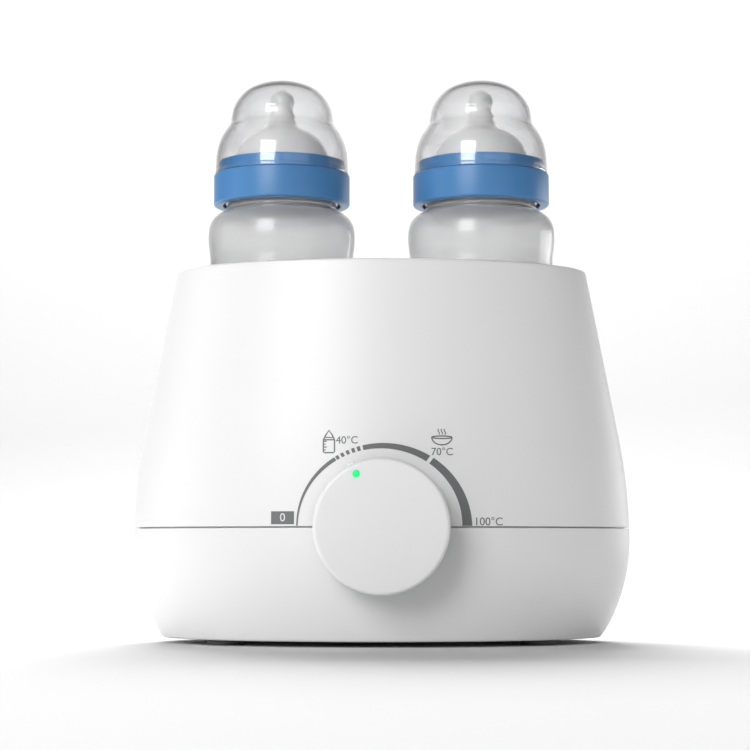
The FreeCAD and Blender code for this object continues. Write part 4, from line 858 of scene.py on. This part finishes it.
def bottle_mark():
    """Small outline of a bottle with a pointed teat and four measure lines."""
    x, z, line = -22.7 * MM, 84.0 * MM, 0.55 * MM
    half, tall = 2.4 * MM, 5.6 * MM
    outline = [(x - half, z + tall), (x - half, z + 0.4 * MM), (x - half + 0.4 * MM, z),
               (x + half - 0.4 * MM, z), (x + half, z + 0.4 * MM), (x + half, z + tall)]
    teat_line = [(x - half, z + tall), (x - half * 0.55, z + tall + 2.2 * MM), (x, z + tall + 4.1 * MM),
                 (x + half * 0.55, z + tall + 2.2 * MM), (x + half, z + tall)]
    faces = stroke(outline, line) + stroke(teat_line, line)
    faces += stroke([(x - half, z + tall), (x + half, z + tall)], line)
    ring = z + tall + 1.0 * MM
    faces += stroke([(x - half * 0.75, ring), (x + half * 0.75, ring)], line * 0.8)
    for step in range(4):
        height = z + (1.2 + step * 1.25) * MM
        reach = (1.5 if step % 2 else 1.0) * MM
        faces += stroke([(x - half, height), (x - half + reach, height)], line * 0.8)
    shown(printed("bottle_mark", faces), "housing", "print_grey")


def arc_points(x, z, across, tall, angles):
    """Points of an oval round x and z, at angles in degrees."""
    return [(x + across * math.cos(math.radians(angle)), z + tall * math.sin(math.radians(angle)))
            for angle in angles]


def bowl_mark():
    """Small outline of a bowl with three wisps of steam."""
    x, z, line = 26.1 * MM, 87.3 * MM, 0.55 * MM
    rim = arc_points(x, z + 3.4 * MM, 4.4 * MM, 0.55 * MM, range(0, 360, 20))
    bowl = arc_points(x, z + 3.4 * MM, 4.4 * MM, 3.3 * MM, range(180, 361, 12))
    faces = stroke(rim, line, closed=True) + stroke(bowl, line)
    for wisp in (-1, 0, 1):
        steam = [(x + wisp * 1.35 * MM + 0.35 * MM * math.sin(step * math.pi / 3),
                  z + 4.6 * MM + step * 0.4 * MM) for step in range(7)]
        faces += stroke(steam, line * 0.7)
    shown(printed("bowl_mark", faces), "housing", "print_grey")


def figures(name, text, x, z, size, material=PRINT_GREY):
    """Printed figures centred at x and z."""
    curve = bpy.data.curves.new(name, "FONT")
    curve.body, curve.size = text, size
    curve.align_x, curve.align_y = "CENTER", "CENTER"
    holder = new_object(name, curve)
    mesh = plain_mesh(holder)
    bpy.data.objects.remove(holder)
    faces = [[(x + mesh.vertices[i].co.x, z + mesh.vertices[i].co.y) for i in face.vertices]
             for face in mesh.polygons]
    bpy.data.meshes.remove(mesh)
    return printed(name, faces, material)


def dial_figures():
    """Temperatures along the scale, and the plate with a zero at its cold end."""
    for name, text, x, z, size in (("figure_warm", "40°C", -14.9 * MM, 89.3 * MM, 4.6 * MM),
                                   ("figure_heat", "70°C", 26.2 * MM, 84.3 * MM, 4.6 * MM),
                                   ("figure_boil", "100°C", 46.2 * MM, 54.2 * MM, 4.9 * MM)):
        shown(figures(name, text, x, z, size), "housing", "print_grey")
    low, high = Vector((-47.7 * MM, 53.2 * MM)), Vector((-37.7 * MM, 58.8 * MM))
    steps = 8
    columns = [low.x + (high.x - low.x) * step / steps for step in range(steps + 1)]
    faces = [[(a, low.y), (b, low.y), (b, high.y), (a, high.y)] for a, b in zip(columns, columns[1:])]
    shown(printed("off_plate", faces), "housing", "print_grey")
    zero = figures("off_figure", "0", (low.x + high.x) / 2, (low.y + high.y) / 2, 5.0 * MM, PRINT_WHITE)
    zero.data.transform(Matrix.Translation((0, -PRINT_THICKNESS, 0)))
    shown(zero, "housing", "housing_white")


# ---------------------------------------------------------------- what shows of the inside
def inner_finishes():
    """Better finishes for the nodes that stay as they are."""
    finishes = {"knob_bezel": HOUSING_WHITE, "control_shaft": SHAFT_BRASS, "control_board": BOARD_GREEN,
                "rotary_control": COMPONENT_BLACK, "indicator_led": LIGHT_GREEN, "relay": COMPONENT_BLACK,
                "filter_capacitor": COMPONENT_YELLOW, "terminal_block": BOARD_GREEN,
                "board_screws": SCREW_STEEL, "bezel_screws": SCREW_STEEL}
    sided = {"well_seal": SEAL_SILICONE, "heater_plate": HEATER_ALUMINIUM, "heating_tube": HEATER_STEEL,
             "thermostat": HEATER_STEEL, "heater_nuts": SCREW_STEEL, "heater_leads": LEAD_RED}
    for side, _ in SIDES:
        finishes.update({f"{side}_{piece}": material for piece, material in sided.items()})
    for node, material in finishes.items():
        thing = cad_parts[node]
        for slot in thing.material_slots:
            slot.material = material


# ---------------------------------------------------------------- stage, lights and camera
def stage():
    """White sweep: a floor that curves up into a back wall."""
    half, back, bend, top = 6.0, 4.0, 1.5, 5.0
    line = [(-8.0, 0.0)] + [(back - bend + bend * math.sin(a), bend - bend * math.cos(a))
                            for a in (math.radians(step * 7.5) for step in range(13))] + [(back, top)]
    mesh = bpy.data.meshes.new("sweep")
    verts = [(x, y, z) for y, z in line for x in (-half, half)]
    faces = [(2 * i, 2 * i + 1, 2 * i + 3, 2 * i + 2) for i in range(len(line) - 1)]
    mesh.from_pydata(verts, [], faces)
    mesh.materials.append(STAGE_WHITE)
    sweep = new_object("sweep", mesh)
    for face in mesh.polygons:
        face.use_smooth = True


def softbox(name, place, target, width, height, power, mirrored=True):
    """A soft light. One that isn't mirrored lights surfaces without showing in gloss and glass."""
    light = bpy.data.lights.new(name, "AREA")
    light.shape, light.size, light.size_y, light.energy = "RECTANGLE", width, height, power
    thing = new_object(name, light)
    thing.visible_glossy = thing.visible_transmission = mirrored
    thing.location = place
    thing.rotation_euler = (Vector(target) - Vector(place)).to_track_quat("-Z", "Y").to_euler()


def lights():
    """Lamps to the left, in front, at the right edge and behind, and a faint even sky."""
    centre = (0, 0, 0.12)
    softbox("key_light", (-0.75, -1.7, 0.8), centre, 0.85, 0.85, 20)
    softbox("side_light", (-1.9, -0.35, 0.5), centre, 0.8, 0.8, 14, mirrored=False)
    softbox("front_light", (1.2, -2.4, 0.5), centre, 2.2, 1.0, 5)
    softbox("edge_light", (1.7, 1.1, 0.15), (0, 0, 0.08), 1.4, 0.8, 10)
    softbox("over_light", (-0.2, 1.5, 1.9), centre, 1.6, 1.2, 98, mirrored=False)
    softbox("wall_light", (0, 2.2, 2.4), (0, 4.0, 1.0), 5.0, 1.2, 100)
    world = bpy.data.worlds.new("studio")
    world.use_nodes = True
    sky = world.node_tree.nodes["Background"]
    sky.inputs["Color"].default_value = (1, 1, 1, 1)
    sky.inputs["Strength"].default_value = 0.1
    bpy.context.scene.world = world


def camera():
    """Level with the lower housing, tilted up a little, and turned a little to the left."""
    lens = bpy.data.cameras.new("camera")
    lens.lens, lens.sensor_width = 98.8, 36
    eye = new_object("camera", lens)
    eye.location = (0, -0.95, 0.0443)
    eye.rotation_euler = (math.radians(90 + 4.72), 0, math.radians(0.18))
    bpy.context.scene.camera = eye
    bpy.context.scene.view_settings.view_transform = "Standard"


def build():
    """Make every piece, then the stage, the lights and the camera."""
    upper_shell()
    lower_shell()
    knob_body()
    knob_light()
    feet()
    screws()
    gland()
    for name, side in SIDES:
        well(name, side)
        vessel(name, side)
        teat(name, side)
        collar(name, side)
        cap(name, side)
    dial_scale()
    bottle_mark()
    bowl_mark()
    dial_figures()
    inner_finishes()
    stage()
    lights()
    camera()


build()
